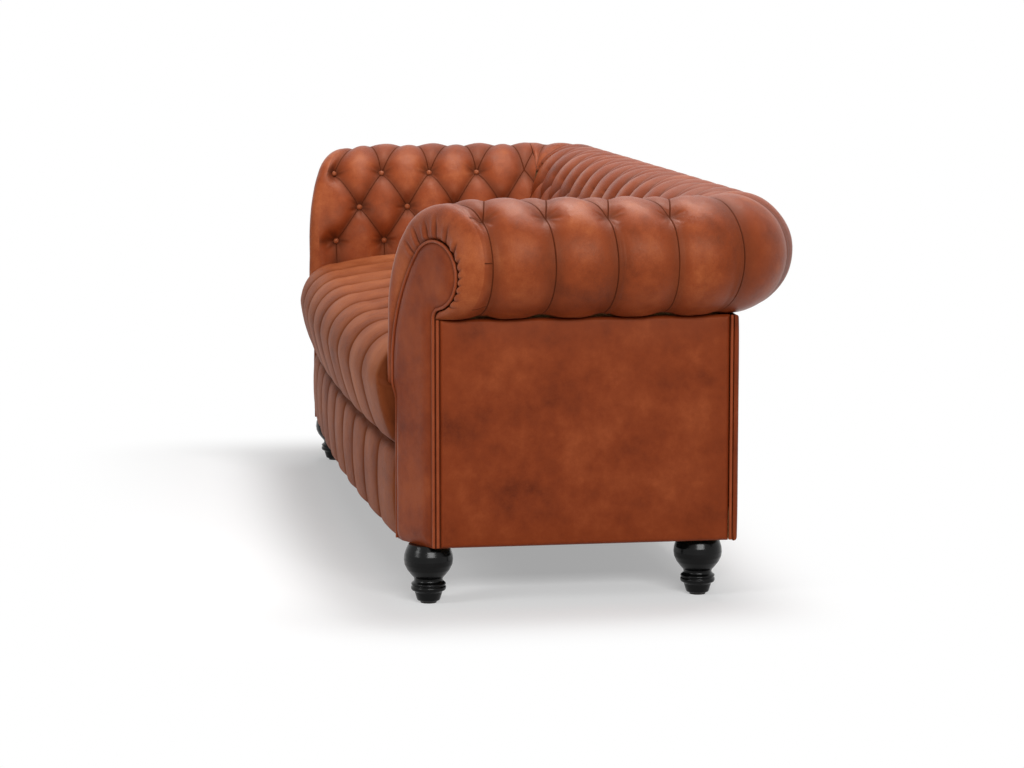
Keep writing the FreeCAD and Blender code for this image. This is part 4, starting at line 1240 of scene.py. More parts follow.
    def corner_count(self, run: Array, angle: Array) -> Array:
        """Pleats counted along the back and round a corner.

        Args:
            run: Distance from the middle.
            angle: How far round the corner, in radians.

        Returns:
            The count, with a pleat at each half.
        """
        last_pleat = self.back_tufts + 0.5
        last = last_pleat * self.back_pitch
        past = last_pleat - self.back_end_count
        arm_past = self.arm_tufts + 0.5 - self.arm_end_count
        counts = [last_pleat + past, last_pleat + 1.0, last_pleat + 2.0, last_pleat + 2.0 + arm_past]
        turned = np.interp(np.degrees(angle), [0.0, 22.5, 67.5, 90.0], counts)
        share = (run - last) / (self.roll_x - self.bend - last)
        straight = np.where(run < last, run / self.back_pitch, last_pleat + share * past)
        return np.where(angle > 0.0, turned, straight)

    def button_sheets(self, sites: Sites, place: Callable[..., Array]) -> list[Sheet]:
        """The buttons of some tufts.

        Args:
            sites: Run, rise and strength of each tuft. Outer tufts have no button.
            place: Gives the middle, the direction along the sofa and the direction out of a tuft.

        Returns:
            A surface for each button.
        """
        dome = np.array(self.button)
        turns = np.linspace(0.0, 2.0 * math.pi, 20, endpoint=False)
        made = []
        for run, rise, weight in sites:
            if weight < 1.0:
                continue
            middle, side, out = place(run, rise)
            up = np.cross(out, side)
            ring = side[None] * np.cos(turns)[:, None] + up[None] * np.sin(turns)[:, None]
            points = middle + dome[:, 0, None, None] * ring[None] + dome[:, 1, None, None] * out
            made.append(Sheet(points, ring=True, flip=True))
        return made

    def arm_button_place(self, run: float, rise: float) -> Array:
        """Where a button of the arm on the positive side sits.

        Args:
            run: Its place along the arm.
            rise: Its place along the section.

        Returns:
            Its middle, the direction along the arm and the direction outwards.
        """
        offset, height, turn = (float(v) for v in self.section.at(np.array(rise)))
        out = np.array([math.cos(turn), 0.0, math.sin(turn)])
        deep = self.arm.crown - self.arm_button_depth
        middle = np.array([self.roll_x + offset, run, height]) + out * deep
        return np.array([middle, [0.0, 1.0, 0.0], out])

    def back_button_place(self, run: float, rise: float) -> Array:
        """Where a button of the back sits.

        Args:
            run: Its place along the back.
            rise: Its place along the section.

        Returns:
            Its middle, the direction along the back and the direction outwards.
        """
        offset, height, turn = (float(v) for v in self.section.at(np.array(rise)))
        out = np.array([0.0, math.cos(turn), math.sin(turn)])
        deep = self.back.crown - self.back_button_depth
        middle = np.array([run, self.roll_y + offset, height]) + out * deep
        return np.array([middle, [1.0, 0.0, 0.0], out])

    def build(self) -> None:
        """Makes the covers and the buttons."""
        right = self.arm_surface()
        buttons = self.button_sheets(self.arm_sites(), self.arm_button_place)
        for name, cover, domes in (
            ("right", right, buttons),
            ("left", right.mirrored(), [b.mirrored() for b in buttons]),
        ):
            piece = make_mesh(f"arm_cover_{name}", [cover])
            dress(piece, Hide.TUFTED, [f"arm_leather_{name}"])
            piece = make_mesh(f"arm_button_set_{name}", domes)
            dress(piece, Hide.BUTTON, [f"arm_buttons_{name}"])
        piece = make_mesh("back_cover", [self.back_surface()])
        dress(piece, Hide.TUFTED, ["back_leather"])
        domes = self.button_sheets(self.back_sites(), self.back_button_place)
        dress(make_mesh("back_button_set", domes), Hide.BUTTON, ["back_buttons"])


def dress(piece: bpy.types.Object, hide: Hide, nodes: Sequence[str]) -> None:
    """Gives a leather piece its material, its body and the nodes that it stands for.

    Args:
        piece: The piece.
        hide: Its leather.
        nodes: The CAD nodes that it replaces.
    """
    finish(piece, hide.value.material(), nodes)


def finish(
    piece: bpy.types.Object,
    material: bpy.types.Material,
    nodes: Sequence[str],
) -> None:
    """Gives a piece its material, slot, body and nodes.

    Args:
        piece: The piece.
        material: Its material.
        nodes: The CAD nodes that it replaces.
    """
    piece.data.materials.clear()
    piece.data.materials.append(material)
    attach(piece, "root")
    if nodes:
        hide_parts(*nodes)
    LOG.info("%s: %d faces", piece.name, len(piece.data.polygons))


# ---------------------------------------------------------------- the arm fronts


@dataclass
class ArmFront:
    """The facing of an arm, the piping round it and the pleated band that the scroll ends in."""

    covers: Covers
    inner_x: float = 801.0
    outer_x: float = 920.0
    head: float = 62.0
    head_x: float = 924.0
    head_z: float = 621.0
    waist: float = 20.0
    lean_start: float = 440.0
    low: float = 112.0
    band_foot: float = 378.0
    turn_back: tuple[float, ...] = (1.0, 6.0, 14.0, 24.0)
    behind_seat: float = 6.5
    behind_seat_fade: float = 34.0
    behind_seat_wide: float = 26.0
    band_behind: float = 2.2
    face_depth: float = 2.5
    face_puff: float = 7.5
    face_edge: float = 30.0
    piping: float = 3.0
    band_dip: float = 2.5
    gather_radius: float = 66.0
    gather_depths: tuple[float, float] = (2.4, 4.0)
    gather_lengths: tuple[float, float] = (0.55, 0.95)
    pleats: tuple[float, ...] = (
        -52.0, -38.0, -25.0, -13.0, -2.0, 9.0, 22.0, 40.0, 64.0, 88.0, 108.0, 131.0, 152.0,
    )

    def heights(self, start: float, end: float, count: int) -> Array:
        """Heights between two, closer together near the upper one.

        Args:
            start: Lowest height.
            end: Highest height.
            count: How many are wanted.

        Returns:
            The heights, upwards.
        """
        return end - (end - start) * (1.0 - np.sin(np.linspace(0.0, math.pi / 2.0, count)))

    def left_line(self, grow: float, start: float, end: float, count: int = 60) -> Array:
        """The inner edge of the facing between two heights.

        Args:
            grow: How far outside the facing the line lies.
            start: Lowest height.
            end: Highest height, at most that of the head's top.
            count: How many points are wanted.

        Returns:
            X and Z of each point, upwards.
        """
        inner, head = self.inner_x - grow, self.head + grow
        reach, rise = self.head_x - inner, self.head_z - self.lean_start
        lean = (reach**2 + rise**2 - head**2) / (2.0 * (reach - head))
        meet = self.head_z + head * rise / (lean - head)
        z = self.heights(start, end, count)
        leaning = inner + lean - np.sqrt(lean**2 - np.maximum(z - self.lean_start, 0.0) ** 2)
        rounded = self.head_x - np.sqrt(np.maximum(head**2 - (z - self.head_z) ** 2, 0.0))
        return along(np.stack([np.where(z > meet, rounded, leaning), z], axis=1), count)

    def right_line(self, grow: float, start: float, end: float, count: int = 60) -> Array:
        """The outer edge of the facing between two heights, upwards.

        Args:
            grow: How far outside the facing the line lies.
            start: Lowest height.
            end: Highest height, at most that of the head's top.
            count: How many points are wanted.

        Returns:
            X and Z of each point.
        """
        outer, head, waist = self.outer_x + grow, self.head + grow, self.waist - grow
        hollow_x = outer + waist
        hollow_z = self.head_z - math.sqrt((head + waist) ** 2 - (hollow_x - self.head_x) ** 2)
        neck_z = self.head_z + (hollow_z - self.head_z) * head / (head + waist)
        z = self.heights(start, end, 4 * count)
        stem = hollow_x - np.sqrt(np.maximum(waist**2 - np.maximum(z - hollow_z, 0.0) ** 2, 0.0))
        rounded = self.head_x + np.sqrt(np.maximum(head**2 - (z - self.head_z) ** 2, 0.0))
        return along(np.stack([np.where(z > neck_z, rounded, stem), z], axis=1), count)

    def facing(self) -> Sheet:
        """The padded facing, with painted shade along its edges and a painted highlight with some wear on
        its middle.
        """
        top = self.head_z + self.head
        heights = self.heights(self.low, top, 220)
        left, right = self.left_line(0.0, self.low, top, 400), self.right_line(0.0, self.low, top, 400)
        x_left = np.interp(heights, left[:, 1], left[:, 0])
        x_right = np.interp(heights, right[:, 1], right[:, 0])
        across = 0.5 - 0.5 * np.cos(np.linspace(0.0, math.pi, 48))
        x = x_left[:, None] + (x_right - x_left)[:, None] * across
        z = np.broadcast_to(heights[:, None], x.shape)
        edge = np.concatenate([left, right[::-1]])
        gap = np.min(np.hypot(x[..., None] - edge[:, 0], z[..., None] - edge[:, 1]), axis=-1)
        low_gap = np.minimum(gap, z - self.low)
        full = 1.0 - (1.0 - np.clip(low_gap / self.face_edge, 0.0, 1.0)) ** 2.4
        depth = self.face_depth - self.face_puff * full + 0.35 * unevenness(x, z, 90.0, 21)
        depth = depth + self.set_back(z) * (1.0 - ease(0.0, self.behind_seat_wide, x - x_left[:, None]))
        points = points_at(x, self.covers.plane.y(x, depth), z)
        outer = [points[:, -1:] + np.array([0.4, deep, 0.0]) for deep in self.turn_back]
        inner = [points[:, :1] + np.array([-0.4, deep, 0.0]) for deep in self.turn_back[::-1]]
        points = np.concatenate([*inner, points, *outer], axis=1)
        added = len(self.turn_back)
        # Painted highlight with some wear on the padded middle, and painted shade beside the edge.
        marks = {"crown": 0.7 * full, "hollow": 0.5 * (1.0 - ease(1.5, 9.0, gap))}
        marks = {key: np.pad(value, ((0, 0), (added, added)), mode="edge") for key, value in marks.items()}
        # The turned-back strips at both sides are painted fully in shade.
        marks["hollow"][:, :added] = 1.0
        marks["hollow"][:, -added:] = 1.0
        return Sheet(points, marks, flip=True)

    def piping_path(self) -> Array:
        """Middle line of the piping, from the inner foot over the head to the outer one."""
        top = self.head_z + self.head
        left = self.left_line(0.0, self.low + 2.0, top, 150)
        right = self.right_line(0.0, self.low + 2.0, top, 150)
        line = along(np.concatenate([left, right[-2::-1]]), 320)
        depth = 0.5 + self.set_back(line[:, 1]) * (line[:, 0] < (self.inner_x + self.outer_x) / 2.0)
        return points_at(line[:, 0], self.covers.plane.y(line[:, 0], depth), line[:, 1])

    def set_back(self, z: Array) -> Array:
        """How far the inner edge lies behind the end of the seat and its border, at some heights."""
        return self.behind_seat * (1.0 - ease(self.band_foot, self.band_foot + self.behind_seat_fade, z))

    def band_edges(self) -> tuple[Array, Array]:
        """The two edges of the pleated band.

        Returns:
            X and Z of its columns along the piping, and where the scroll begins.
        """
        section, covers = self.covers.section, self.covers
        stations = [self.band_foot, self.lean_start, section.lean_start, self.head_z]
        counts = [14, 30, 26, 60, 60, 60]
        grow = self.piping
        top = self.head_z + self.head + grow
        inner = [self.left_line(grow, a, b, n) for a, b, n in zip(stations, stations[1:] + [top], counts)]
        whole = self.right_line(grow, self.outer_foot(), top, 240)[::-1]
        split = int(np.argmin(np.abs(whole[:, 1] - self.head_z)))
        inner += [along(whole[: split + 1], counts[4]), along(whole[split:], counts[5])]
        rises = [section.rise_at(z) for z in stations]
        rises += [section.rise_on_roll(a) for a in (90.0, 0.0, covers.arm_end)]
        outer_rise = np.concatenate([np.linspace(a, b, n)[1:] for a, b, n in zip(rises, rises[1:], counts)])
        offset, height, turn = section.at(outer_rise)
        near = np.concatenate([part[1:] for part in inner])
        outwards = np.stack([np.cos(turn), np.sin(turn)], axis=1)
        far = np.stack([covers.roll_x + offset, height], axis=1)
        return near, far + covers.front_depth(outer_rise, 0.0)[:, None] * outwards

    def gathers(self, near: Array, share: Array) -> tuple[Array, Array]:
        """The pleats that fan out over the band, with painted shade in their bottoms.

        Args:
            near: X and Z of the band's inner edge.
            share: How far out each point lies, from 0 at the piping to 1 at the scroll.

        Returns:
            How far the leather stands out, and its hollow mark.
        """
        order = np.unwrap(np.arctan2(near[:, 1] - self.head_z, near[:, 0] - self.head_x))
        angle = np.degrees(order)[:, None] + 360.0 + 7.0 * np.sin(3.0 * share)
        per_degree = math.radians(self.gather_radius)
        relief = np.zeros_like(share)
        hollow = np.zeros_like(share)
        chance = np.random.default_rng(8)
        for place in self.pleats:
            aside = (angle - place) * per_degree
            deep, long = chance.uniform(*self.gather_depths), chance.uniform(*self.gather_lengths)
            if place < 20.0:
                deep, long = deep * 0.6, long * 0.9
            fade = (1.0 - ease(0.35 * long, long, share)) * ease(0.0, 0.06, share)
            relief += fade * (0.55 * deep * bell(aside, 4.5, 6.5) - deep * bell(aside, 2.6))
            # Painted shade along the bottom of each pleat.
            hollow = np.maximum(hollow, 0.9 * fade * bell(aside, 1.7))
        return relief, hollow

    def band(self) -> Sheet:
        """The pleated band, from the piping out to where the scroll begins."""
        near, far = self.band_edges()
        width = self.covers.band
        wide = np.linalg.norm(far - near, axis=1)[:, None]
        bend = np.minimum(wide - 0.5, width + 4.0)
        swing = np.linspace(0.0, math.pi / 2.0, 16)
        flat = np.linspace(0.0, 1.0, 16)[:-1]
        reach = np.concatenate([(wide - bend) * flat, (wide - bend) + bend * np.sin(swing)], axis=1)
        rounded = np.concatenate([np.zeros(len(flat)), width * (1.0 - np.cos(swing))])
        share = reach / wide
        relief, hollow = self.gathers(near, share)
        dip = self.band_dip * np.sin(math.pi * np.clip(share, 0.0, 1.0))
        depth = rounded - dip + 5.0 * np.exp(-reach / 4.5) - relief * (1.0 - ease(0.6, 1.0, share))
        # Painted shade in the groove beside the piping.
        hollow = np.maximum(hollow, 0.75 * bell(reach, 5.0))
        spot = near[:, None] + (far - near)[:, None] * share[..., None]
        y = self.covers.plane.y(spot[..., 0], depth + self.band_behind * self.set_back(spot[..., 1]))
        # Painted highlight, partly wear, where the band is not shaded.
        marks = {"hollow": hollow, "crown": 0.6 * (1.0 - hollow)}
        return Sheet(points_at(spot[..., 0], y, spot[..., 1]), marks)

    def outer_foot(self) -> float:
        """Height at which the band's inner edge ends under the scroll."""
        return float(self.covers.section.at(np.array(self.covers.section.length(self.covers.arm_end)))[1])

    def build(self) -> None:
        """Makes the facings, their piping and the bands."""
        facing, band = self.facing(), self.band()
        cord = tube(self.piping_path(), self.piping)
        for name in ("right", "left"):
            if name == "left":
                facing, band, cord = facing.mirrored(), band.mirrored(), cord.mirrored()
            dress(make_mesh(f"facing_pad_{name}", [facing]), Hide.PANEL, [f"facing_{name}"])
            dress(make_mesh(f"facing_cord_{name}", [cord]), Hide.PIPING, [f"facing_piping_{name}"])
            dress(make_mesh(f"pleated_band_{name}", [band]), Hide.TUFTED, [f"scroll_border_{name}"])


# ---------------------------------------------------------------- seat and border


@dataclass
class Seat:
    """The fluted seat that rolls over its front edge, and the fluted border under it."""

    half: float = 769.7
    front_half: float = 796.0
    flutes: int = 9
    bow: float = 22.0
    inside_y: float = 150.0
    rear_z: float = 488.0
    crown_z: float = 513.0
    lip: tuple[float, float] = (-318.0, 491.0)
    nose: tuple[float, float] = (-405.0, 400.0)
    seam: tuple[float, float] = (-370.0, 281.0)
    low: float = 112.0
    under: float = -335.0
    deep: float = 8.0
    seam_soft: float = 0.02
    seam_wide: float = 0.045
    seam_share: float = 0.45
    hem: float = 9.0
    hem_deep: float = 7.0
    spread: float = 150.0
    bow_start: float = -84.0
    seat_corner: tuple[float, float] = (18.0, 12.0)
    border_corner: tuple[float, float] = (14.0, 10.0)
    low_corner: tuple[float, float] = (9.0, 6.0)
    arch: float = 26.0
    turn_in: tuple[float, ...] = (0.5, 4.0, 12.0, 24.0, 34.0)
    flare: float = 5.0
    hem_turn: tuple[tuple[float, float], ...] = ((1.5, -0.5), (6.0, -0.9), (14.0, -0.9), (30.0, -0.9))

    def across(self, per_flute: int = 56) -> Array:
        """X of the columns between the arms, closer together at the seams.

        Args:
            per_flute: How many each flute has.

        Returns:
            The places, from left to right.
        """
        pitch = 2.0 * self.half / self.flutes
        share = 0.5 - 0.5 * np.cos(np.linspace(0.0, math.pi, per_flute + 1))[:-1]
        places = [(flute + share) * pitch - self.half for flute in range(self.flutes)]
        return np.concatenate([*places, [self.half]])

    def flute(self, x: Array) -> tuple[Array, Array]:
        """How full each flute is across the seat, and its count.

        Args:
            x: X of the columns between the arms.

        Returns:
            0 at a seam to 1 in the middle, and a count with a seam at each whole number.
        """
        count = (x + self.half) / (2.0 * self.half / self.flutes)
        gap = 2.0 * to_whole(count)
        gap = np.clip(np.sqrt(gap**2 + self.seam_soft**2) - self.seam_soft, 0.0, 1.0)
        rounded = 1.0 - (1.0 - gap) ** 2.2
        creased = 1.0 - np.exp(-gap / self.seam_wide)
        return (1.0 - self.seam_share) * rounded + self.seam_share * creased, count

    def section(self) -> Array:
        """Y and Z from the back of the seat over the front edge to the seam."""
        knee = math.sqrt(0.5)
        middle = (self.inside_y + self.lip[0]) / 2.0
        turn = (
            self.lip[0] + (self.nose[0] - self.lip[0]) * knee,
            self.nose[1] + (self.lip[1] - self.nose[1]) * knee,
        )
        belly = ((self.nose[0] + self.seam[0]) / 2.0 - 5.0, (self.nose[1] + self.seam[1]) / 2.0)
        parts = [
            arc_through((self.inside_y + 6.0, self.rear_z - 3.0), (middle, self.crown_z), self.lip, 160),
            arc_through(self.lip, turn, self.nose, 80)[1:],
            arc_through(self.nose, belly, self.seam, 80)[1:],
        ]
        return along(np.concatenate(parts), 230)

    def widened(self, flat: Array, share: Array | float = 1.0) -> Array:
        """X of the columns where the seat widens in front of the arms.

        Args:
            flat: X of the columns between the arms.
            share: 0 between the arms and 1 in front of them.

        Returns:
            The places.
        """
        outer = np.maximum(np.abs(flat) - self.half + self.spread, 0.0) / self.spread
        return flat + np.sign(flat) * outer * (self.front_half - self.half) * share

    def end_fall(self, x: Array, corner: tuple[float, float]) -> Array:
        """How the front falls away at its two ends.

        Args:
            x: Places along the sofa.
            corner: Radius of the rounding and how far it falls.

        Returns:
            The fall at each place.
        """
        radius, fall = corner
        return fall * edge_fall(self.front_half - np.abs(x), radius)

    def seam_marks(self, flat: Array, count: Array, shape: tuple[int, ...]) -> dict[str, Array]:
        """The marks that draw the seams between the flutes as painted shade lines.

        Args:
            flat: X of the columns between the arms.
            count: The flutes counted, whole at a seam.
            shape: Rows and columns of the surface.

        Returns:
            The marks.
        """
        return {
            "fold_a": np.broadcast_to(count, shape),
            "fold_b": np.full(shape, 0.5),
            "fold_span": np.full(shape, 2.0 * self.half / self.flutes),
            "fold_strength": np.full(shape, 0.85) * (np.abs(flat) < self.half - 2.0),
        }

    def cushion(self) -> Sheet:
        """The seat."""
        line = self.section()
        flat = self.across()
        full, count = self.flute(flat)
        heading = np.gradient(line, axis=0)
        heading /= np.linalg.norm(heading, axis=1, keepdims=True)
        out = np.stack([heading[:, 1], -heading[:, 0]], axis=1)
        reach = travelled(line)
        from_seam = (reach[-1] - reach)[:, None]
        in_front = 1.0 - ease(self.nose[1] - 4.0, self.nose[1] + 24.0, line[:, 1:])
        x = self.widened(flat, in_front)
        full = full * (1.0 - np.exp(-from_seam / self.hem))
        depth = -self.deep * (1.0 - full) - self.hem_deep * np.exp(-((from_seam / self.hem) ** 1.3))
        depth = depth + 0.6 * unevenness(x, reach[:, None], 110.0, 31) * full
        depth = depth - in_front * self.end_fall(x, self.seat_corner)
        y = line[:, :1] + self.bowed(x, line) + depth * out[:, :1]
        z = line[:, 1:] + depth * out[:, 1:]
        points = points_at(x, y, z)
        inward = np.stack([np.zeros(len(line)), -out[:, 0], -out[:, 1]], axis=1)
        hem = [points[-1] + np.array([0.0, deep, rise]) for deep, rise in self.hem_turn]
        points = np.concatenate([points, hem])
        inward = np.concatenate([inward, np.repeat(inward[-1:], len(hem), axis=0)])
        from_seam = np.concatenate([from_seam, np.zeros((len(hem), 1))])
        full = np.concatenate([full, np.zeros((len(hem), len(flat)))])
        marks = self.seam_marks(flat, count, full.shape)
        # Painted shade at the hem seam, in the hem's turn and in the flute seams; painted highlight with
        # some wear on the flutes' crowns.
        marks["hollow"] = np.maximum(0.55 * bell(from_seam, 5.0), 0.6 * (1.0 - full) ** 1.5)
        marks["crown"] = 0.9 * full
        return self.with_ends(points, marks, inward)

    def with_ends(self, points: Array, marks: dict[str, Array], inward: Array) -> Sheet:
        """A sheet whose two ends are turned in and closed.

        Args:
            points: Rows down the front, columns along the sofa.
            marks: The marks of the points.
            inward: Direction into the padding for each row.

        Returns:
            The sheet with the added columns.
        """
        count = len(self.turn_in)
        ends = []
        for edge, side in ((0, -1.0), (-1, 1.0)):
            flare = [np.array([side * min(0.4 * deep, self.flare), 0.0, 0.0]) for deep in self.turn_in]
            ends.append([points[:, edge] + inward * deep + out for deep, out in zip(self.turn_in, flare)])
        wide = np.concatenate([np.stack(ends[0][::-1], 1), points, np.stack(ends[1], 1)], axis=1)
        padded = {key: np.pad(value, ((0, 0), (count, count)), mode="edge") for key, value in marks.items()}
        return Sheet(wide, padded)

    def bowed(self, x: Array, line: Array) -> Array:
        """How far back the front stands at one place, fading out over the seat's top."""
        fade = np.clip((self.bow_start - line[:, :1]) / (self.bow_start - self.lip[0]), 0.0, 1.0)
        return self.bow * (x / self.half) ** 2 * fade

    def border(self) -> Sheet:
        """The border under the seat."""
        flat = self.across()
        full, count = self.flute(flat)
        x = self.widened(flat)
        front_y, foot_y = self.seam[0], self.seam[0] + 3.0
        top = self.seam[1] - 1.0
        belly = (front_y - 0.7 * self.deep, (top + self.low) / 2)
        face = arc_through((front_y, top), belly, (foot_y, self.low), 120)
        down = (top - face[:, 1])[:, None]
        arch = self.arch * np.sqrt(np.clip(1.0 - full, 0.0, 1.0))
        full = full * (1.0 - np.exp(-np.maximum(down - 0.4 * arch, 0.0) / 8.0))
        radius, fall = self.low_corner
        depth = -self.deep * (1.0 - full) - 4.0 * bell(down, 5.0)
        depth = depth - fall * edge_fall(face[:, 1:] - self.low, radius)
        depth = depth + 0.5 * unevenness(x, down, 90.0, 41) * full
        depth = depth - self.end_fall(x, self.border_corner)
        bow = self.bow * (x / self.half) ** 2
        front = points_at(x, face[:, :1] + bow - depth, face[:, 1:])
        under = np.linspace(foot_y, self.under, 12)[1:, None]
        under = np.maximum(under + bow + self.deep, front[-1, :, 1])
        below = points_at(x, under, self.low)
        hem = [front[0] + np.array([0.0, deep, -rise]) for deep, rise in self.hem_turn[::-1]]
        points = np.concatenate([hem, front, below])
        upright = len(hem) + len(front)
        inward = np.repeat([[0.0, 1.0, 0.0], [0.0, 0.0, 1.0]], [upright, len(below)], axis=0)
        down = np.concatenate([np.zeros((len(hem), 1)), down])
        full = np.concatenate([np.zeros((len(hem), len(x))), full])
        # Painted shade under the top seam and in the flute seams.
        hollow = np.maximum(0.6 * bell(down, 4.0), 0.6 * (1.0 - full) ** 1.5)
        marks = self.seam_marks(flat, count, points.shape[:2])
        marks["hollow"] = np.pad(hollow, ((0, len(below)), (0, 0)))
        # Painted highlight with some wear on the flutes' crowns.
        marks["crown"] = np.pad(0.8 * full, ((0, len(below)), (0, 0)))
        return self.with_ends(points, marks, inward)

    def build(self) -> None:
        """Makes the seat and the border."""
        dress(make_mesh("fluted_seat", [self.cushion()]), Hide.SEAT, ["seat_leather"])
        dress(make_mesh("fluted_border", [self.border()]), Hide.SEAT, ["front_border_leather"])


# ---------------------------------------------------------------- outside panels


@dataclass
class OutsidePanels:
    """The flat leather outside the arms and the back, with piping at the arms' edges."""

    arm_x: float = 925.0
    back_y: float = 287.0
    low: float = 112.0
    top: float = 539.0
    arm_front: float = -279.0
    arm_rear: float = 268.0
    cord_places: tuple[float, float] = (-282.1, 271.4)
    cord_x: float = 921.5
    cord: float = 3.2
    thick: float = 12.0
    edge: float = 8.0
    puff: float = 4.5
    puff_edge: float = 70.0
    rows: int = 130

    def spaced(self, start: float, end: float, count: int) -> Array:
        """Places between two ends, closer together near them.

        Args:
            start: First place.
            end: Last place.
            count: How many are wanted.

        Returns:
            The places.
        """
        share = np.linspace(0.0, 1.0, count)
        share = share - 0.85 * np.sin(2.0 * math.pi * share) / (2.0 * math.pi)
        return start + (end - start) * share

    def padded(self, wide: Array, tall: Array, seed: int) -> tuple[Array, Array]:
        """Depth of a padded panel.

        Args:
            wide: Places across it, in rows.
            tall: Places up it, in columns.
            seed: Chooses its unevenness.

        Returns:
            How far the surface stands in front of the panel's plane, and how full it is.
        """
        sides = np.minimum(wide - wide.min(), wide.max() - wide)
        ends = np.minimum(tall - tall.min(), tall.max() - tall)
        rounded = self.edge * edge_fall(np.minimum(sides, ends), self.edge)
        across, up = (1.0 - (1.0 - np.clip(gap / self.puff_edge, 0.0, 1.0)) ** 2 for gap in (sides, ends))
        full = across * up
        gather = np.cos((wide - wide.min()) / 9.0) * np.exp(-(tall.max() - tall) / 14.0)
        relief = self.puff * full - rounded - 2.0 + 0.7 * gather * np.exp(-sides / 40.0)
        return relief + 0.45 * unevenness(wide, tall, 150.0, seed) * full, full

    def arm_panel(self) -> Sheet:
        """The panel outside the arm on the positive side."""
        y = self.spaced(self.arm_front, self.arm_rear, 150)[:, None]
        z = self.spaced(self.low, self.top, self.rows)[None, :]
        y, z = np.broadcast_arrays(y, z)
        depth, full = self.padded(y, z, 51)
        # Crown mark: painted highlight, partly wear, on the padded middle, so the panel darkens towards its
        # edges.
        return Sheet(points_at(self.arm_x + depth, y, z), {"crown": 0.4 * full})

    def back_panel(self) -> list[Sheet]:
        """The panel outside the back, with its two turned ends."""
        x = self.spaced(-self.arm_x, self.arm_x, 420)[:, None]
        z = self.spaced(self.low, self.top, self.rows)[None, :]
        x, z = np.broadcast_arrays(x, z)
        depth, full = self.padded(x, z, 61)
        # The same painted highlight, partly wear, on the back panel's padded middle.
        face = Sheet(points_at(x, self.back_y + depth, z), {"crown": 0.4 * full}, flip=True)
        deep = np.linspace(0.0, 1.0, 12)[:, None]
        y = self.back_y - self.thick + (self.thick - self.edge - 2.0) * deep
        swell = 1.2 * np.sin(math.pi * deep) - 6.0 * np.exp(-(z[:1] - self.low) / 5.0)
        end = Sheet(points_at(self.arm_x + swell, y, z[:1]))
        return [face, end, end.mirrored()]

    def build(self) -> None:
        """Makes the panels and their piping."""
        panel = self.arm_panel()
        z = np.linspace(self.low + 2.0, self.top - 1.0, 60)
        cords = [tube(points_at(self.cord_x, y, z), self.cord) for y in self.cord_places]
        for name in ("right", "left"):
            if name == "left":
                panel, cords = panel.mirrored(), [c.mirrored() for c in cords]
            dress(make_mesh(f"arm_panel_{name}", [panel]), Hide.PANEL, [f"outside_arm_{name}"])
            dress(make_mesh(f"panel_cord_{name}", cords), Hide.PIPING, [f"panel_piping_{name}"])
        dress(make_mesh("back_panel", self.back_panel()), Hide.PANEL, ["outside_back"])


# ---------------------------------------------------------------- feet and underside


@dataclass
class Feet:
    """Turned feet in black lacquer."""

    x: float = 860.0
    front: float = -292.0
    rear: float = 223.0
    outline: tuple[tuple[float, float], ...] = (
        (0.0, 4.0), (19.5, 4.0), (21.5, 5.5), (24.5, 15.0), (26.2, 21.0), (28.0, 22.6), (31.8, 24.4),
        (33.0, 28.0), (32.8, 31.0), (30.6, 32.6), (30.6, 33.6), (32.6, 35.0), (32.4, 37.4), (30.0, 39.4),
        (27.4, 41.4), (26.5, 44.0), (27.4, 47.6), (33.0, 54.0), (40.0, 63.0), (44.8, 73.0), (46.0, 82.0),
        (45.0, 92.0), (41.8, 102.0), (37.0, 112.0), (0.0, 112.0),
    )
    sides: int = 72
    points: int = 260

    def turned(self, x: float, y: float) -> Sheet:
        """One foot.

        Args:
            x: Its place along the sofa.
            y: Its place from front to back.

        Returns:
            Its surface.
        """
        line = self.smoothed()
        radius, height = line[:, :1], line[:, 1:]
        turns = np.linspace(0.0, 2.0 * math.pi, self.sides, endpoint=False)
        points = points_at(x + radius * np.cos(turns), y + radius * np.sin(turns), height)
        return Sheet(points, ring=True, flip=True)

    def smoothed(self) -> Array:
        """The outline with its hard corners eased."""
        line = along(np.array(self.outline), self.points)
        for _ in range(2):
            line[1:-1] = 0.25 * line[:-2] + 0.5 * line[1:-1] + 0.25 * line[2:]
        return line

    def build(self) -> None:
        """Makes the four feet."""
        black = Lacquer().material()
        for end, y in (("front", self.front), ("rear", self.rear)):
            for name, x in (("right", self.x), ("left", -self.x)):
                piece = make_mesh(f"turned_foot_{end}_{name}", [self.turned(x, y)])
                finish(piece, black, [f"foot_{end}_{name}"])


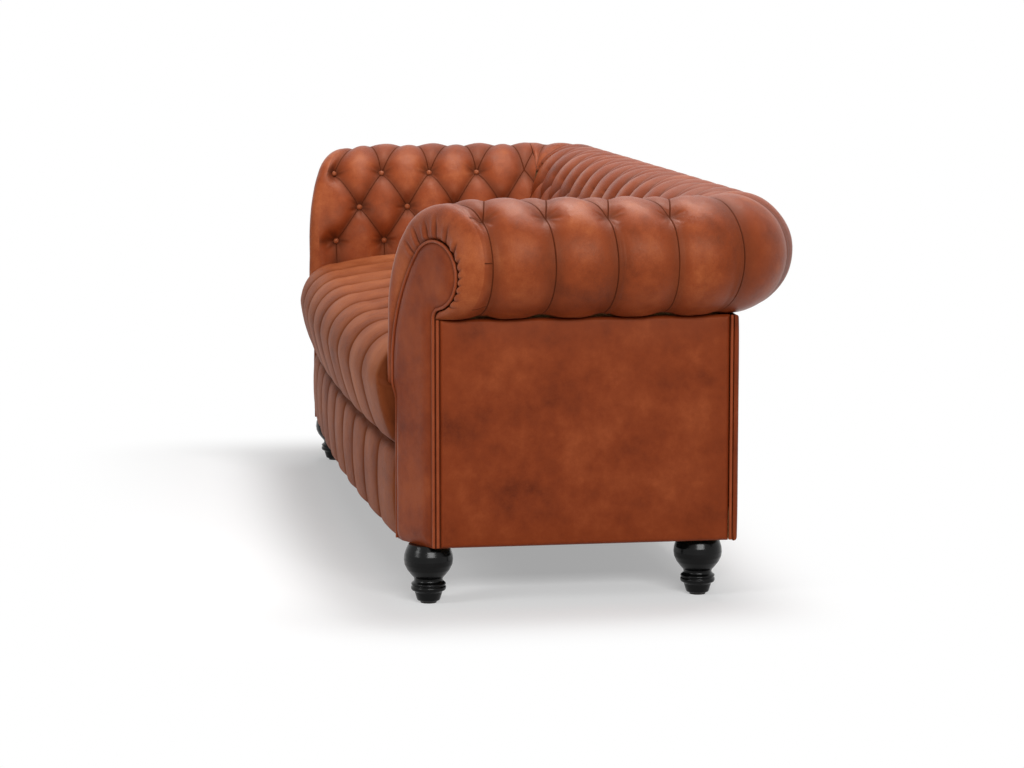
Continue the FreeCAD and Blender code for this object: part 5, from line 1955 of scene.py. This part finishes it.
@dataclass
class Underside:
    """The dust cloth under the seat, stapled to the rails."""

    half: float = 912.0
    inner_half: float = 800.0
    front: float = -332.0
    rear: float = 274.0
    notch_front: float = -199.0
    notch_rear: float = 175.0
    z: float = 117.0
    cell: float = 12.0
    sag: float = 1.6
    sag_span: tuple[float, float] = (1830.0, 610.0)

    def strip(self, low_x: float, high_x: float, low_y: float, high_y: float) -> Sheet:
        """One straight-cut stretch of the cloth, sagging a little between the rails.

        Args:
            low_x: Its left edge.
            high_x: Its right edge.
            low_y: Its front edge.
            high_y: Its rear edge.

        Returns:
            Its surface.
        """
        x = np.linspace(low_x, high_x, max(int((high_x - low_x) / self.cell), 4))[:, None]
        y = np.linspace(low_y, high_y, 52)[None, :]
        x, y = np.broadcast_arrays(x, y)
        middle = (self.front + self.rear) / 2.0
        span_x, span_y = self.sag_span
        sag = self.sag * np.cos(math.pi * (y - middle) / span_y) * np.cos(x * math.pi / span_x)
        ripple = 0.4 * unevenness(x, y, 120.0, 71)
        return Sheet(points_at(x, y, self.z - np.maximum(sag, 0.0) + ripple), flip=True)

    def build(self) -> None:
        """Makes the cloth."""
        strips = [
            self.strip(-self.inner_half, self.inner_half, self.front, self.rear),
            self.strip(self.inner_half, self.half, self.notch_front, self.notch_rear),
            self.strip(-self.half, -self.inner_half, self.notch_front, self.notch_rear),
        ]
        cloth = make_mesh("dust_cover", strips, weld=0.2)
        felt = Fibre("dust_cloth", rgb(34, 33, 34), rgb(22, 21, 22), 1.4)
        finish(cloth, felt.material(), ["dust_cloth"])


# ---------------------------------------------------------------- what the covers hide


@dataclass
class Inside:
    """The padding and the carcase inside the covers."""

    nodes: dict[str, bpy.types.Object]
    foams: tuple[str, ...] = ("seat_foam", "back_foam", "arm_foam_left", "arm_foam_right")
    voxel: float = 9.0

    def pad(self, node: str, material: bpy.types.Material) -> None:
        """Makes a foam block with eased edges in the space of a CAD one.

        Args:
            node: The CAD node.
            material: Its foam.
        """
        source = self.nodes[node]
        piece = bpy.data.objects.new(f"{node}_block", source.data.copy())
        bpy.context.scene.collection.objects.link(piece)
        piece.matrix_world = source.matrix_world.copy()
        remesh = piece.modifiers.new("cells", "REMESH")
        remesh.mode = "VOXEL"
        remesh.voxel_size = self.voxel * MM
        remesh.use_smooth_shade = True
        eased = piece.modifiers.new("eased", "SMOOTH")
        eased.iterations = 3
        settle(piece)
        finish(piece, material, [node])

    def build(self) -> None:
        """Makes the padding and finishes the carcase."""
        foam = Fibre().material()
        for node in self.foams:
            self.pad(node, foam)
        finishes = {
            ("arm_lower", "arm_top", "back_lower", "back_top", "back_upright", "corner_block"): Timber(),
            ("front_post", "front_seat", "rear_post", "rear_seat", "seat_cross", "side_seat"): Timber(),
            ("scroll_board",): Timber("plywood", rgb(214, 184, 140), rgb(184, 146, 98), 9.0),
            ("frame_screws", "foot_bolts", "spring_clips"): Metal(),
            ("seat_springs",): Metal("spring_steel", rgb(118, 116, 112), rgb(70, 64, 58), 0.42),
            ("arm_webbing", "back_webbing"): Fibre(
                "webbing", rgb(170, 142, 98), rgb(120, 94, 60), 2.0, 2.4
            ),
            ("foot_glides",): Fibre("glide_plastic", rgb(60, 58, 56), rgb(44, 42, 40), 5.0),
        }
        for starts, used in finishes.items():
            for name, node in self.nodes.items():
                if name.startswith(starts):
                    node.data.materials.clear()
                    node.data.materials.append(used.material())
                    LOG.info("%s: %s", name, used.name)


# ---------------------------------------------------------------- studio


@dataclass
class Lamp:
    """One soft box, in metres and watts."""

    name: str
    place: tuple[float, float, float]
    target: tuple[float, float, float]
    size: tuple[float, float]
    power: float

    def build(self) -> None:
        """Makes the lamp."""
        data = bpy.data.lights.new(self.name, "AREA")
        data.shape = "RECTANGLE"
        data.size, data.size_y = self.size
        data.energy = self.power
        lamp = bpy.data.objects.new(self.name, data)
        bpy.context.scene.collection.objects.link(lamp)
        lamp.location = self.place
        aim = np.array(self.target) - np.array(self.place)
        lamp.rotation_euler = (
            math.atan2(math.hypot(aim[0], aim[1]), -aim[2]),
            0.0,
            math.atan2(aim[1], aim[0]) - math.pi / 2.0,
        )


@dataclass
class Studio:
    """Floor, light and camera."""

    eye: tuple[float, float, float] = (6.373, -1.021, 1.159)
    yaw: float = 9.143
    pitch: float = 7.651
    lens: float = 106.26
    sky: float = 0.14
    floor_reach: float = 14000.0
    floor_centre: tuple[float, float, float] = (0.0, -0.18, 0.0)
    floor_half: tuple[float, float, float] = (0.95, 0.42, 0.0)
    fade: float = 0.36
    white_share: float = 0.36

    def build(self) -> None:
        """Sets up the studio."""
        self.camera()
        self.floor()
        self.world()
        lamps = [
            Lamp("side_box", (6.2, 0.4, 2.7), (0.9, 0.0, 0.6), (3.4, 1.1), 240.0),
            Lamp("front_box", (2.6, -4.4, 2.4), (0.0, 0.0, 0.5), (1.4, 1.2), 70.0),
            Lamp("top_box", (-0.3, 0.5, 4.0), (0.0, 0.0, 0.4), (2.6, 1.0), 130.0),
        ]
        for lamp in lamps:
            lamp.build()
        view = bpy.context.scene.view_settings
        view.view_transform = "Standard"

    def camera(self) -> None:
        """The camera of the photograph."""
        data = bpy.data.cameras.new("camera")
        data.lens = self.lens
        data.sensor_width = 36.0
        data.clip_end = 100.0
        eye = bpy.data.objects.new("camera", data)
        bpy.context.scene.collection.objects.link(eye)
        eye.location = self.eye
        eye.rotation_euler = (math.radians(90.0 - self.pitch), 0.0, math.radians(90.0 - self.yaw))
        bpy.context.scene.camera = eye

    def floor(self) -> None:
        """A pale floor that fades into the white of the room."""
        line = np.linspace(-self.floor_reach, self.floor_reach, 29)
        floor = make_mesh("floor", [Sheet(points_at(line[:, None], line[None, :], 0.0))])
        material = bpy.data.materials.new("floor")
        material.use_nodes = True
        graph = Graph(material.node_tree)
        near = graph.place()
        for operation, other in (
            ("SUBTRACT", self.floor_centre),
            ("ABSOLUTE", (0.0, 0.0, 0.0)),
            ("SUBTRACT", self.floor_half),
            ("MAXIMUM", (0.0, 0.0, 0.0)),
        ):
            near = graph.add("ShaderNodeVectorMath", {"operation": operation}, {0: near, 1: other})
        away = graph.add("ShaderNodeVectorMath", {"operation": "LENGTH"}, {0: near}, output="Value")
        seen = self.seen(graph)
        pale = graph.blend(seen, (0.5, 0.5, 0.5, 1.0), (0.93, 0.93, 0.93, 1.0))
        plain = graph.add("ShaderNodeBsdfDiffuse", None, {"Color": pale})
        white = graph.add("ShaderNodeEmission", None, {"Color": (1.0, 1.0, 1.0, 1.0), "Strength": 1.0})
        share = away.step(0.0, self.fade, self.white_share, 1.0) * seen
        mixed = graph.add("ShaderNodeMixShader", None, {0: share, 1: plain, 2: white})
        graph.node("ShaderNodeOutputMaterial", None, {"Surface": mixed})
        floor.data.materials.append(material)

    def seen(self, graph: Graph) -> Wire:
        """Tells what is looked at from what only gives light.

        Args:
            graph: The nodes to add to.

        Returns:
            1 for rays of the camera, of reflections and through glass, and 0 for the others.
        """
        path = graph.node("ShaderNodeLightPath")
        kinds = ("Camera", "Glossy", "Transmission")
        rays = [Wire(graph, path.outputs[f"Is {kind} Ray"]) for kind in kinds]
        return rays[0].greater(rays[1]).greater(rays[2])

    def world(self) -> None:
        """An even, pale room that shows white behind the sofa."""
        world = bpy.data.worlds.new("room")
        bpy.context.scene.world = world
        world.use_nodes = True
        graph = Graph(world.node_tree)
        share = self.seen(graph)
        white = (1.0, 1.0, 1.0, 1.0)
        light, room = (
            graph.add("ShaderNodeBackground", None, {"Color": white, "Strength": power})
            for power in (self.sky, 1.0)
        )
        mixed = graph.add("ShaderNodeMixShader", None, {0: share, 1: light, 2: room})
        graph.node("ShaderNodeOutputWorld", None, {"Surface": mixed})


def main() -> None:
    """Builds the sofa piece by piece, and its studio."""
    logging.basicConfig(level=logging.INFO, format="%(message)s")
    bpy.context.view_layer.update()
    covers = Covers()
    covers.build()
    ArmFront(covers).build()
    Seat().build()
    OutsidePanels().build()
    Feet().build()
    Underside().build()
    Inside(frame["nodes"]).build()
    Studio().build()


if __name__ == "__main__":
    main()
